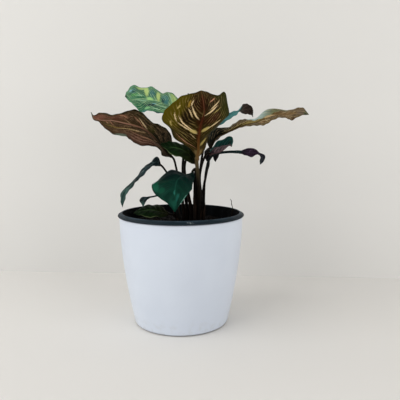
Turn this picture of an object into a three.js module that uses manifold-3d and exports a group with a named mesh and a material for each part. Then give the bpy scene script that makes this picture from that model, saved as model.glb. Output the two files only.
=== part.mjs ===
// Potted calathea: a peacock plant in a dark nursery pot, dropped into a white planter.
// Millimetres, +Z up. The origin is the middle of the planter's foot, on the floor.
// -Y is the front. Every leaf is a stalk that stands in the soil and a thin blade on its end.
import * as THREE from "three";
import { mergeVertices } from "three/addons/utils/BufferGeometryUtils.js";
import Module from "manifold-3d";

const wasm = await Module();
wasm.setup();

// White planter: radii and heights
const mouthRadius = 63.4;
const mouthRounding = 0.6;
const heelRadius = 49.3;
const heelChamfer = [47.8, 1];
const footRadius = 45.3;
const heelHeight = 3.5;
const shoulderHeight = 109.5;
const planterHeight = 111.4;
const planterWall = 2.2;
const planterFloor = 4.5;
const planterFloorRadius = 44.3;
const bulgePower = 1.7;
const outerSections = [heelHeight, 14, 28, 44, 62, 82, shoulderHeight];
const innerSections = [82, 56, 30, 10];

// Nursery pot that hangs in the planter by its lip
const lipRadius = 65;
const lipTopRadius = 61.4;
const lipInnerRadius = 60.2;
const lipUnderside = 111.7;
const lipEdgeHeight = 112.9;
const lipTop = 115.3;
const linerMouthRadius = 59;
const linerFootRadius = 45;
const linerFootHeight = 7;
const linerWall = 1.4;
const drainCount = 6;
const drainRadius = 3.5;
const drainCircle = 26;

// Soil
const soilLevel = 103;
const soilBump = 0.9;
const shortRipple = [0.31, 0.37];
const longRipple = [0.11, -0.19];
const longShare = 0.6;
const soilWallGap = 0.8;
const soilShoulder = 2;
const soilRings = [0.94, 0.82, 0.68, 0.52, 0.36, 0.18];
const rootDepth = 84;
const soilSettled = 95;
const stalkClear = 106;

// Gaps between pieces that touch
const clearance = 0.3;
const jointGap = 0.5;
const holeClearance = 0.4;
const cutOverrun = 1;
const weldDistance = 0.01;

// Facets
const potSegments = 60;
const soilSegments = 40;
const holeSides = 12;

// Leaf tissue
const bladeThickness = 0.8;
const keelHeight = 0.45;
const bladeBaseHalfWidth = 1.2;
const bladeTipHalfWidth = 0.7;
const wideShares = [-1, -0.72, -0.42, -0.13, 0, 0.13, 0.42, 0.72, 1];
const narrowShares = [-1, -0.5, 0, 0.5, 1];
const wideLeafRows = 14;
const endCrowding = 0.3;
const fullWaveWidth = 8;
const marginShift = 1.9;
const stalkSides = 7;
const stalkSteps = 10;
const stalkLead = 4;
const thinningSpan = [0.35, 0.85];

const colours = {
  glaze: 0xd3dae1,
  lip: 0x1d3440,
  soil: 0x0d0a08,
  stalk: 0x1c140f,
  sheath: 0x4a3422,
  green: 0x0e3d30,
  pale: 0x79a878,
  olive: 0x5a470f,
  maroon: 0x43231b,
  purple: 0x2a1a26,
  gold: 0x7a6540,
};

const group = new THREE.Group();

function addMesh(name, geometry, colour, roughness) {
  const material = new THREE.MeshStandardMaterial({ color: colour, roughness, metalness: 0 });
  const mesh = new THREE.Mesh(geometry, material);
  mesh.name = name;
  group.add(mesh);
}

function toSolid(geometry) {
  const bare = geometry.clone();
  bare.deleteAttribute("normal");
  bare.deleteAttribute("uv");
  const merged = mergeVertices(bare, 1e-4);
  const vertProperties = new Float32Array(merged.attributes.position.array);
  const triVerts = new Uint32Array(merged.index.array);
  return new wasm.Manifold(new wasm.Mesh({ numProp: 3, vertProperties, triVerts }));
}

function toGeometry(solid) {
  const mesh = solid.simplify(weldDistance).getMesh();
  const geometry = new THREE.BufferGeometry();
  geometry.setAttribute("position", new THREE.BufferAttribute(new Float32Array(mesh.vertProperties), 3));
  geometry.setIndex(new THREE.BufferAttribute(new Uint32Array(mesh.triVerts), 1));
  geometry.computeVertexNormals();
  return geometry;
}

// A closed outline of [radius, height] pairs turned round the vertical axis.
function turned(outline, segments) {
  const points = outline.map(([radius, height]) => new THREE.Vector2(radius, height));
  const geometry = new THREE.LatheGeometry(points, segments);
  geometry.rotateX(Math.PI / 2);
  return geometry;
}

function uprightCylinder(radius, low, high, sides, x, y) {
  const geometry = new THREE.CylinderGeometry(radius, radius, high - low, sides);
  geometry.rotateX(Math.PI / 2);
  geometry.translate(x, y, (low + high) / 2);
  return geometry;
}

// The planter's side: steep at the mouth, drawn in towards the heel.
function planterRadius(height) {
  const rise = (height - heelHeight) / (shoulderHeight - heelHeight);
  return mouthRadius - (mouthRadius - heelRadius) * (1 - rise) ** bulgePower;
}

function makePlanter() {
  const outline = [
    [0, 0],
    [footRadius, 0],
    heelChamfer,
  ];
  for (const height of outerSections) outline.push([planterRadius(height), height]);
  outline.push([mouthRadius - mouthRounding, planterHeight]);
  outline.push([mouthRadius - planterWall, planterHeight]);
  for (const height of innerSections) outline.push([planterRadius(height) - planterWall, height]);
  outline.push([planterFloorRadius, planterFloor]);
  outline.push([0, planterFloor]);
  return turned(outline, potSegments);
}

function makeNurseryPot() {
  const outline = [
    [0, linerFootHeight],
    [linerFootRadius, linerFootHeight],
    [linerMouthRadius, lipUnderside],
    [lipRadius, lipUnderside],
    [lipRadius, lipEdgeHeight],
    [lipTopRadius, lipTop],
    [lipInnerRadius, lipTop],
    [linerMouthRadius - linerWall, lipEdgeHeight],
    [linerFootRadius - linerWall, linerFootHeight + linerWall],
    [0, linerFootHeight + linerWall],
  ];
  let solid = toSolid(turned(outline, potSegments));
  for (let i = 0; i < drainCount; i += 1) {
    const angle = (2 * Math.PI * i) / drainCount;
    const x = drainCircle * Math.cos(angle);
    const y = drainCircle * Math.sin(angle);
    const low = linerFootHeight - cutOverrun;
    const high = linerFootHeight + linerWall + cutOverrun;
    solid = solid.subtract(toSolid(uprightCylinder(drainRadius, low, high, holeSides, x, y)));
  }
  return toGeometry(solid);
}

// The lie of the soil: a short ripple over a long one.
function soilHeight(x, y) {
  const short = Math.sin(x * shortRipple[0] + 1) * Math.cos(y * shortRipple[1]);
  const long = Math.sin(x * longRipple[0] + y * longRipple[1]);
  return soilLevel + soilBump * (short + longShare * long);
}

// Loose potting mix: a root ball with an uneven top, and a plain hole for every stalk.
function makeSoil(holes) {
  const low = linerFootHeight + linerWall + clearance;
  const wallSlope = (linerMouthRadius - linerFootRadius) / (lipEdgeHeight - linerFootHeight);
  const lowRadius = linerFootRadius - linerWall - 2 * clearance;
  const highRadius = lowRadius + wallSlope * (soilLevel - low) - soilWallGap;
  const outline = [
    [0, low],
    [lowRadius, low],
    [highRadius, soilLevel - soilShoulder],
  ];
  for (const share of soilRings) outline.push([highRadius * share, soilLevel]);
  outline.push([0, soilLevel]);
  const geometry = turned(outline, soilSegments);
  const position = geometry.attributes.position;
  for (let i = 0; i < position.count; i += 1) {
    if (position.getZ(i) < soilLevel - clearance) continue;
    position.setZ(i, soilHeight(position.getX(i), position.getY(i)));
  }
  let solid = toSolid(geometry);
  for (const { root, radius } of holes) {
    const floor = rootDepth - clearance;
    const hole = uprightCylinder(radius + holeClearance, floor, stalkClear, holeSides, ...root);
    solid = solid.subtract(toSolid(hole));
  }
  return toGeometry(solid);
}

const toVector = ([x, y, z]) => new THREE.Vector3(x, y, z);
const smoothCurve = (points) => new THREE.CatmullRomCurve3(points, false, "catmullrom", 0.5);

// A value that varies along the leaf: one number, or several spaced evenly from base to tip.
function valueAlong(value, share) {
  if (typeof value === "number") return value;
  const place = share * (value.length - 1);
  const index = Math.min(Math.floor(place), value.length - 2);
  const step = THREE.MathUtils.smoothstep(place - index, 0, 1);
  return THREE.MathUtils.lerp(value[index], value[index + 1], step);
}

// The margin runs from beside the blade's base, through its own points, to beside the tip.
function marginCurve(midrib, margin) {
  const base = toVector(midrib[0]);
  const tip = toVector(midrib[midrib.length - 1]);
  const points = margin.map(toVector);
  const first = points[0].clone().sub(base).setLength(bladeBaseHalfWidth).add(base);
  const last = points[points.length - 1].clone().sub(tip).setLength(bladeTipHalfWidth).add(tip);
  return smoothCurve([first, ...points, last]);
}

// The blade's middle surface, as rows of points from the left margin to the right one.
function bladeSurface(leaf, acrossShares) {
  const midrib = smoothCurve(leaf.midrib.map(toVector));
  const margins = [marginCurve(leaf.midrib, leaf.left), marginCurve(leaf.midrib, leaf.right)];
  const [waveHeight, waveCount, wavePhase] = leaf.wave;
  const surface = [];
  for (let i = 0; i <= leaf.rows; i += 1) {
    const even = i / leaf.rows;
    const share = endCrowding * (1 - Math.cos(Math.PI * even)) + (1 - 2 * endCrowding) * even;
    const centre = midrib.getPoint(share);
    const along = midrib.getTangent(share);
    const edges = margins.map((margin) => margin.getPoint(share));
    const up = edges[1].clone().sub(edges[0]).cross(along).normalize();
    surface.push(acrossShares.map((across) => {
      const side = across > 0 ? 1 : 0;
      const reach = edges[side].clone().sub(centre);
      const width = reach.length();
      const out = Math.abs(across);
      const arch = valueAlong(leaf.arch[side], share) * 4 * out * (1 - out) * width;
      const turn = 2 * Math.PI * waveCount * share + wavePhase + marginShift * side;
      const wave = waveHeight * out * out * Math.sin(turn) * Math.min(1, width / fullWaveWidth);
      return centre.clone().addScaledVector(reach, out).addScaledVector(up, arch + wave);
    }));
  }
  return surface;
}

function surfaceNormal(surface, i, j) {
  const rows = surface.length - 1;
  const columns = surface[0].length - 1;
  const along = surface[Math.min(i + 1, rows)][j].clone().sub(surface[Math.max(i - 1, 0)][j]);
  const across = surface[i][Math.min(j + 1, columns)].clone().sub(surface[i][Math.max(j - 1, 0)]);
  return across.cross(along).normalize();
}

// Two faces a tissue's thickness apart, split into triangles alike, closed by a strip round the edge.
function makeBlade(leaf) {
  const acrossShares = leaf.rows < wideLeafRows ? narrowShares : wideShares;
  const surface = bladeSurface(leaf, acrossShares);
  const rows = surface.length;
  const columns = acrossShares.length;
  const positions = [];
  for (const face of [1, -1]) {
    for (let i = 0; i < rows; i += 1) {
      for (let j = 0; j < columns; j += 1) {
        const keel = face < 0 && acrossShares[j] === 0 ? keelHeight : 0;
        const offset = face * (bladeThickness / 2 + keel);
        const point = surface[i][j].clone().addScaledVector(surfaceNormal(surface, i, j), offset);
        positions.push(point.x, point.y, point.z);
      }
    }
  }
  const upper = (i, j) => i * columns + j;
  const lower = (i, j) => rows * columns + i * columns + j;
  const indices = [];
  for (let i = 0; i < rows - 1; i += 1) {
    for (let j = 0; j < columns - 1; j += 1) {
      indices.push(upper(i, j), upper(i, j + 1), upper(i + 1, j + 1));
      indices.push(upper(i, j), upper(i + 1, j + 1), upper(i + 1, j));
      indices.push(lower(i, j), lower(i + 1, j + 1), lower(i, j + 1));
      indices.push(lower(i, j), lower(i + 1, j), lower(i + 1, j + 1));
    }
  }
  const rim = [];
  for (let j = 0; j < columns - 1; j += 1) rim.push([0, j]);
  for (let i = 0; i < rows - 1; i += 1) rim.push([i, columns - 1]);
  for (let j = columns - 1; j > 0; j -= 1) rim.push([rows - 1, j]);
  for (let i = rows - 1; i > 0; i -= 1) rim.push([i, 0]);
  rim.forEach((from, index) => {
    const to = rim[(index + 1) % rim.length];
    indices.push(upper(...from), lower(...from), lower(...to));
    indices.push(upper(...from), lower(...to), upper(...to));
  });
  const geometry = new THREE.BufferGeometry();
  geometry.setAttribute("position", new THREE.Float32BufferAttribute(positions, 3));
  geometry.setIndex(indices);
  geometry.computeVertexNormals();
  return geometry;
}

// A round stalk bent along a curve. The sheathed foot is stout, and it thins towards the blade.
function makeStalk(points, bottomRadius, topRadius) {
  const curve = smoothCurve(points);
  const geometry = new THREE.CylinderGeometry(1, 1, 1, stalkSides, stalkSteps);
  const position = geometry.attributes.position;
  for (let i = 0; i < position.count; i += 1) {
    const share = THREE.MathUtils.clamp(position.getY(i) + 0.5, 0, 1);
    const centre = curve.getPoint(share);
    const along = curve.getTangent(share);
    const side = new THREE.Vector3(0, 1, 0).cross(along).normalize();
    const front = along.clone().cross(side);
    const thin = THREE.MathUtils.smoothstep(share, ...thinningSpan);
    const radius = THREE.MathUtils.lerp(bottomRadius, topRadius, thin);
    const point = centre.clone();
    point.addScaledVector(side, -radius * position.getX(i));
    point.addScaledVector(front, radius * position.getZ(i));
    position.setXYZ(i, point.x, point.y, point.z);
  }
  geometry.computeVertexNormals();
  return geometry;
}

// The stalk stands straight in the soil, follows its path, and meets the blade in line with the midrib.
function stalkPoints(leaf) {
  const [x, y] = leaf.root;
  const points = [[x, y, rootDepth], [x, y, soilSettled], [x, y, stalkClear], ...leaf.path].map(toVector);
  const midrib = smoothCurve(leaf.midrib.map(toVector));
  const joint = midrib.getPoint(0);
  const along = midrib.getTangent(0);
  for (const back of [stalkLead, jointGap]) points.push(joint.clone().addScaledVector(along, -back));
  return points;
}

// Each leaf, in the order that it stands round the crown. The midrib runs from the blade's base to
// its tip, and the left and right margins are those seen from the base with the upper side up. arch
// bows each half of the blade up between midrib and margin, as a share of its width. wave is the
// height, count and phase of the ripple along the margins.
const leaves = {
  centre: {
    midrib: [[16, -14, 170], [16.5, -20, 177], [16.5, -27, 185.5], [17, -35, 194.5], [18.5, -43, 204],
      [21, -50, 212.5], [20, -58, 221.5], [18, -64, 231]],
    left: [[23, -14, 178.5], [27, -14, 187.5], [30, -15, 198], [38.5, -18, 204], [46.5, -22, 213],
      [45, -28, 221.5], [41.5, -38, 232], [33, -48, 229], [24.5, -57, 230]],
    right: [[11, -16, 178], [3, -19, 184.5], [-6.5, -23, 190.5], [-10, -29, 199], [-17.5, -34, 207],
      [-15.5, -40, 213.5], [-9, -46, 220.5], [-0.5, -52, 226.5], [9, -58, 228.5]],
    arch: [-0.1, -0.12],
    wave: [0.8, 4, 3.1],
    rows: 16,
    root: [19, -7.2],
    path: [[18.6, -9, 128], [17.3, -12, 150]],
    radii: [1.8, 1.9],
    colours: [colours.olive, colours.sheath],
  },
  left: {
    midrib: [[-9.5, 6, 171], [-16, 4, 178.5], [-23.5, 1, 188], [-33, -4, 198], [-42.5, -9, 202.5],
      [-53.5, -14, 205], [-64.5, -18, 207.5], [-75, -21, 208], [-82, -23, 209], [-85.5, -23, 215]],
    left: [[-8, -1, 183], [-10.5, -6, 196], [-19.5, -9, 202.5], [-28, -14, 206.5], [-36, -20, 214],
      [-44.5, -25, 217], [-54.5, -28, 215], [-65, -29, 212], [-76, -28, 214], [-82.5, -25, 212]],
    right: [[-19, 12, 173], [-23, 14, 179], [-31.5, 14, 183], [-43.5, 10, 184], [-52, 5, 188.5],
      [-56.5, -1, 193], [-67.5, -6, 194.5], [-75, -12, 200], [-79, -18, 206], [-84, -22, 208]],
    arch: [0.1, 0.1],
    wave: [0.8, 4, 1],
    rows: 16,
    root: [3, 2],
    path: [[1.6, 2.5, 126], [-3, 4, 150]],
    radii: [1.5, 1.1],
    colours: [colours.maroon, colours.stalk],
  },
  back_left: {
    midrib: [[10, 20, 209], [-0.5, 26, 219], [-11.5, 31, 225.5], [-22.5, 35, 230.5], [-33.5, 38, 233],
      [-44.5, 40, 234], [-54.5, 42, 233.5], [-61, 43, 237]],
    left: [[4.5, 14, 209], [-8, 16, 213], [-19.5, 19, 217], [-30.5, 22, 219.5], [-40, 25, 218.5],
      [-48, 30, 224], [-55, 37, 230.5]],
    right: [[4.5, 30, 223.5], [-4, 40, 235], [-13, 46, 243], [-22, 49, 241.5], [-33, 52, 249],
      [-44, 53, 248], [-54, 52, 249.5], [-59.5, 48, 243.5]],
    arch: [0.08, 0.1],
    wave: [1.2, 4, 0],
    rows: 16,
    root: [6.8, 4.8],
    path: [[6.2, 6, 120], [3.8, 10, 139], [1.9, 15, 162], [6, 17, 190]],
    radii: [1.5, 1.3],
    colours: [colours.pale, colours.stalk],
  },
  long_right: {
    midrib: [[29.5, 3, 180], [36.5, 5, 192], [46.5, 3, 197], [56.5, 1, 201.5], [66.5, -1, 205.5],
      [76.5, -2, 207.5], [86.5, -3, 211], [96.5, -4, 214.5], [107.5, -5, 214.5], [118.5, -6, 216],
      [129.5, -7, 214.5]],
    left: [[36, 10, 187], [43.5, 18, 193], [54.5, 20, 199.5], [64, 20, 202.5], [74, 20, 204],
      [82.5, 19, 204.5], [89.5, 17, 205], [96.5, 16, 209.5], [104.5, 14, 212.5], [111.5, 11, 211.5],
      [116, 8, 209.5], [123, 2, 213.5]],
    right: [[26, -3, 189.5], [31, -8, 200.5], [46, -14, 201], [52, -18, 204.5], [59, -20, 208.5],
      [64.5, -22, 208.5], [71, -23, 207.5], [78.5, -25, 209.5], [87.5, -25, 213.5], [95, -24, 216.5],
      [103.5, -23, 216.5], [113, -20, 219.5], [121, -15, 220.5]],
    arch: [0.05, [0.08, 0.05, 0.05, 0.05, 0.08, 0.3, 0.12, 0.05, 0.05]],
    wave: [0, 4, 0],
    rows: 20,
    root: [23.4, 0.4],
    path: [[22, 0.6, 124], [19.2, 1.8, 149], [21, 2, 163]],
    radii: [1.5, 1.1],
    colours: [colours.gold, colours.stalk],
  },
  back_right: {
    midrib: [[27, 20, 196.5], [36, 26, 203.5], [45, 32, 210.5], [55.5, 37, 216], [64.5, 41, 221.5],
      [73, 44, 224], [79, 45, 222.5], [81, 45, 215]],
    left: [[35, 34, 209], [44.5, 42, 216.5], [55.5, 48, 220.5], [64.5, 51, 222.5], [70.5, 50, 219],
      [76, 50, 218.5], [80, 48, 217]],
    right: [[34.5, 20, 200], [44, 22, 206], [54, 25, 212.5], [62, 29, 218], [68, 34, 228],
      [74.5, 38, 228.5], [80, 42, 224.5]],
    arch: [0.05, 0.05],
    wave: [0, 3, 0],
    rows: 14,
    root: [19, 0.4],
    path: [[18.8, 1.6, 120], [18.6, 6, 138], [21, 12.5, 163], [24, 17, 182]],
    radii: [1.5, 1.1],
    colours: [colours.green, colours.stalk],
  },
  back_centre: {
    midrib: [[19, 15, 197.5], [20, 22, 213], [17, 32, 229], [8, 41, 240.6]],
    left: [[16, 18, 204], [14.5, 24, 214], [11.5, 32, 228], [7, 38, 237]],
    right: [[25, 14, 206], [28, 21, 219], [22, 32, 232]],
    arch: [0.08, 0.08],
    wave: [0.6, 3, 0],
    rows: 10,
    root: [10.8, 0.6],
    path: [[10.2, 1.4, 120], [6.8, 5, 138], [4, 11, 163], [12.5, 14, 184]],
    radii: [1.5, 1.1],
    colours: [colours.green, colours.stalk],
  },
  folded_right: {
    midrib: [[28, -14, 175], [32.5, -17, 176.5], [37.5, -20, 177.5], [42, -22, 180], [46.5, -24, 183.5],
      [49.5, -26, 182.5]],
    left: [[30.5, -8, 180], [35.5, -6, 186], [41.5, -5, 189.5], [47.5, -7, 192], [51, -12, 192],
      [51.5, -19, 187.5]],
    right: [[30.5, -22, 179], [35, -27, 182], [39.5, -30, 183], [44, -31, 184], [48, -30, 184.5]],
    arch: [0.05, 0.05],
    wave: [0.4, 4, 0],
    rows: 12,
    root: [21.2, -3.4],
    path: [[20.2, -4, 124], [19, -6.2, 147], [20.3, -8.5, 160.5]],
    radii: [1.5, 1.1],
    colours: [colours.purple, colours.stalk],
  },
  rolled_right: {
    midrib: [[58, -14, 177], [62, -14.5, 177], [66.5, -15, 176.5], [70.5, -16, 176], [74.5, -17, 176],
      [77.5, -17.5, 175], [81, -18.5, 172.5], [80.5, -19.5, 168], [78.5, -20, 164.5]],
    left: [[62.5, -11, 178.5], [67, -9, 180], [72, -9, 180], [75.5, -12, 178.5], [78, -15, 176],
      [83.5, -15.5, 173], [82.5, -17, 168.5]],
    right: [[61.5, -18, 174.5], [65.5, -20, 173], [70, -21, 172], [74, -20.5, 174], [76.5, -19.5, 174.5],
      [78.5, -20.5, 171.5], [77.5, -21.5, 168]],
    arch: [0.3, 0.1],
    wave: [0, 3, 0],
    rows: 14,
    root: [23.4, -7.2],
    path: [[23.4, -7.6, 128], [24.4, -9, 150.5], [27.4, -9, 167], [32, -9.3, 173.4], [39, -10, 176],
      [49, -12, 177]],
    radii: [1.1, 1.4],
    colours: [colours.purple, colours.stalk],
  },
  shade_near: {
    midrib: [[29, 9, 166.5], [29, 10.5, 171.5], [29, 11.5, 176.5], [28.5, 12, 181]],
    left: [[31, 11, 168], [33.5, 12, 172.5], [33, 11, 177.5]],
    right: [[26.5, 9, 167.5], [24.5, 8, 172.5], [24.5, 8, 177]],
    arch: [0.1, 0.1],
    wave: [0.5, 3, 3.1],
    rows: 8,
    root: [21.2, 4.2],
    path: [[21.5, 4.8, 120], [23.1, 5, 136], [26.3, 8, 153.5]],
    radii: [1.5, 1],
    colours: [colours.purple, colours.stalk],
  },
  shade_far: {
    midrib: [[35, 13, 177.5], [37, 14, 174.5], [37.5, 14.5, 170], [36.5, 14, 166]],
    left: [[34, 13, 174.5], [34, 13, 171.5], [35, 14, 168]],
    right: [[40.5, 14, 176], [40.5, 15, 173], [38.5, 15, 169]],
    arch: [0.1, 0.1],
    wave: [0.5, 3, 3.1],
    rows: 8,
    root: [23.4, 8.2],
    path: [[23.4, 8.4, 122], [24, 10, 139], [27.3, 14, 155.5], [30, 18.5, 167], [32, 20, 174.5]],
    radii: [1.5, 0.9],
    colours: [colours.purple, colours.stalk],
  },
  under_left: {
    midrib: [[15, -7, 164.5], [8, -11, 175], [0, -13, 179.5], [-9, -14, 181.5], [-15.5, -14, 182.5],
      [-20.5, -13, 184.5]],
    left: [[10, -12, 165.5], [1.5, -19, 171], [-6, -23, 173], [-12.5, -21, 177.5], [-18, -16, 182]],
    right: [[15.5, -5, 177], [7, -4, 182.5], [-3, -4, 186.5], [-11, -5, 187], [-17.5, -8, 186.5]],
    arch: [0.08, 0.08],
    wave: [0.6, 3, 0],
    rows: 12,
    root: [16.8, -3.4],
    path: [[16.4, -2.8, 126], [15.6, -1.8, 148], [16, -4, 158]],
    radii: [1.5, 1],
    colours: [colours.green, colours.stalk],
  },
  front_hanging: {
    midrib: [[12.5, -9, 158], [7, -18, 154], [0.5, -28, 153.5], [-4, -37, 149.5], [-5.5, -43, 141],
      [-5.5, -45, 132.5], [-6, -45, 121]],
    left: [[13.5, -14, 153], [12.6, -22, 149.8], [11.2, -30, 145.5], [10, -36, 141.5], [4.8, -41, 135.5],
      [-0.5, -44, 129]],
    right: [[9, -8, 155], [2, -8, 154], [-5, -9, 157.5], [-13, -12, 158], [-22.5, -21, 150],
      [-28, -31, 145.5], [-26, -37, 139], [-19.5, -42, 133.5], [-12.5, -45, 129]],
    arch: [0.08, 0.08],
    wave: [0.6, 3, 0],
    rows: 16,
    root: [14, -7.2],
    path: [[13.8, -7.4, 128], [13.8, -6.4, 147]],
    radii: [1.5, 1.1],
    colours: [colours.green, colours.stalk],
  },
  drooping_left: {
    midrib: [[-20.5, -4, 163], [-25, -6, 167], [-31, -8, 163.5], [-38, -10, 158], [-43, -12, 151],
      [-50, -14, 144], [-55.5, -16, 136.5], [-58.5, -18, 122.5]],
    left: [[-22.5, -9, 162.5], [-27.5, -14, 163], [-34, -18, 157.5], [-40.5, -20, 151], [-46, -22, 145],
      [-52, -22, 138], [-55, -20, 131]],
    right: [[-21.5, -1, 168.5], [-24.5, 0, 172], [-31, 2, 165.5], [-37, 2, 162], [-42, 0, 154],
      [-48, -3, 147.5], [-54.5, -8, 141.5], [-60.5, -12, 135], [-60.5, -15, 128.5]],
    arch: [0.1, 0.1],
    wave: [0.4, 4, 0],
    rows: 14,
    root: [-2.5, -2],
    path: [[-4.5, -2.2, 126], [-10.5, -2.8, 148]],
    radii: [1.5, 1],
    colours: [colours.purple, colours.stalk],
  },
  small_left: {
    midrib: [[-32, -16, 132], [-35.5, -17, 131.5], [-38, -18, 128.5], [-38, -19, 122.5]],
    left: [[-32, -19, 131], [-34, -21, 129.5], [-36, -20, 125.5]],
    right: [[-36, -14, 132], [-40, -13, 131.5], [-41.5, -15, 128.5], [-39.5, -18, 125.5]],
    arch: [0.1, 0.1],
    wave: [0.2, 3, 0],
    rows: 8,
    root: [-2, -7],
    path: [[-3.2, -7.6, 115], [-8, -10, 127], [-18, -13.5, 134]],
    radii: [1.3, 0.8],
    colours: [colours.purple, colours.stalk],
  },
  low_left: {
    midrib: [[-11.5, 0, 112.5], [-22, -4, 116], [-31.5, -8, 118], [-41.5, -12, 117.5], [-48, -14, 116]],
    left: [[-18.5, -8, 111], [-29, -17, 112], [-39, -19, 113.5]],
    right: [[-20, 4, 120], [-30.5, 6, 122], [-40.5, 0, 120]],
    arch: [0.08, 0.08],
    wave: [0.8, 3, 0],
    rows: 10,
    root: [-4.5, 3],
    path: [[-5, 2.8, 109]],
    radii: [1.2, 0.9],
    colours: [colours.green, colours.stalk],
  },
};

// A dry leftover stalk stands by itself near the right wall, its end bent over.
const sprig = {
  root: [52.3, 10],
  path: [[53.6, 10, 109], [54.9, 10, 116], [53.8, 10, 121], [53.4, 10, 124.8], [52.2, 10, 126.8]],
  radius: 0.5,
};

const holes = Object.values(leaves).map((leaf) => ({ root: leaf.root, radius: leaf.radii[0] }));
holes.push({ root: sprig.root, radius: sprig.radius });

addMesh("outer_pot", makePlanter(), colours.glaze, 0.25);
addMesh("inner_pot", makeNurseryPot(), colours.lip, 0.45);
addMesh("soil", makeSoil(holes), colours.soil, 0.95);
for (const [name, leaf] of Object.entries(leaves)) {
  addMesh(`blade_${name}`, makeBlade(leaf), leaf.colours[0], 0.4);
  addMesh(`stalk_${name}`, makeStalk(stalkPoints(leaf), ...leaf.radii), leaf.colours[1], 0.5);
}
const [sprigX, sprigY] = sprig.root;
const sprigFoot = [soilSettled, soilLevel].map((height) => [sprigX, sprigY, height]);
const sprigPoints = [...sprigFoot, ...sprig.path].map(toVector);
addMesh("dry_sprig", makeStalk(sprigPoints, sprig.radius, sprig.radius), colours.sheath, 0.8);

export default group;
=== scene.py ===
import math
import random

import bmesh
import bpy
import numpy as np
from mathutils import Euler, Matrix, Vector, noise


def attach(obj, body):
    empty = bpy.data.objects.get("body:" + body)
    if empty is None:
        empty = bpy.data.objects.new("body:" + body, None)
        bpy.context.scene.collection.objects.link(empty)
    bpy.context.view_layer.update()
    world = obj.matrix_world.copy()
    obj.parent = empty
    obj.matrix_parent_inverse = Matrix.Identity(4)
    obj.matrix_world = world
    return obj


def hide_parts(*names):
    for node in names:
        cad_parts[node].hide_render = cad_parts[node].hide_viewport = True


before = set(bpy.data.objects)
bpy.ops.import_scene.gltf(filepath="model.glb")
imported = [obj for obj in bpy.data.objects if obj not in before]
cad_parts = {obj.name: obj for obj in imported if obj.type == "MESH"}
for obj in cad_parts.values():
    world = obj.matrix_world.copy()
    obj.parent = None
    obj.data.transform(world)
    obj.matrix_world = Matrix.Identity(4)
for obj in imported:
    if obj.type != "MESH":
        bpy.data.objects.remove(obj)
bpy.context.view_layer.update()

# White planter. A plain round cachepot of smooth white plastic, about 2 mm thick and gently bulged, with
# a rounded heel and a flat foot. It stands on the table, and the nursery pot hangs in its mouth.
MM = 0.001
SHARP_ANGLE = math.radians(50)
POT_STEPS = 160
MOUTH_RADIUS = 63.4
HEEL_RADIUS = 49.3
HEEL_HEIGHT = 3.5
SHOULDER_HEIGHT = 109.5
PLANTER_HEIGHT = 111.4
PLANTER_WALL = 2.2
PLANTER_FLOOR = 4.5
PLANTER_CORNER = 3
FOOT_RADIUS = 45.6
BULGE_POWER = 1.7
SIDE_RINGS = 26


def linear(colour):
    """A colour as seen, 0 to 255 a channel, as the value that a shader takes. A wire stays as it is."""
    if isinstance(colour, Wire):
        return colour
    shares = [channel / 255 for channel in colour]
    return (*[((c + 0.055) / 1.055) ** 2.4 if c > 0.04 else c / 12.92 for c in shares], 1)


class Wire:
    """One output in a finish's node tree. Arithmetic on it adds Math nodes."""

    def __init__(self, finish, socket):
        self.finish = finish
        self.socket = socket

    def maths(self, operation, *values):
        return self.finish.node("ShaderNodeMath", {"operation": operation}, dict(enumerate(values)))

    def __add__(self, other):
        return self.maths("ADD", self, other)

    def __radd__(self, other):
        return self.maths("ADD", other, self)

    def __sub__(self, other):
        return self.maths("SUBTRACT", self, other)

    def __rsub__(self, other):
        return self.maths("SUBTRACT", other, self)

    def __mul__(self, other):
        return self.maths("MULTIPLY", self, other)

    def __truediv__(self, other):
        return self.maths("DIVIDE", self, other)

    def __abs__(self):
        return self.maths("ABSOLUTE", self)

    def between(self, low, high):
        """0 below low and 1 above high, with a soft step between them."""
        inputs = {"Value": self, "From Min": low, "From Max": high}
        return self.finish.node("ShaderNodeMapRange", {"interpolation_type": "SMOOTHSTEP"}, inputs)


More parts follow.
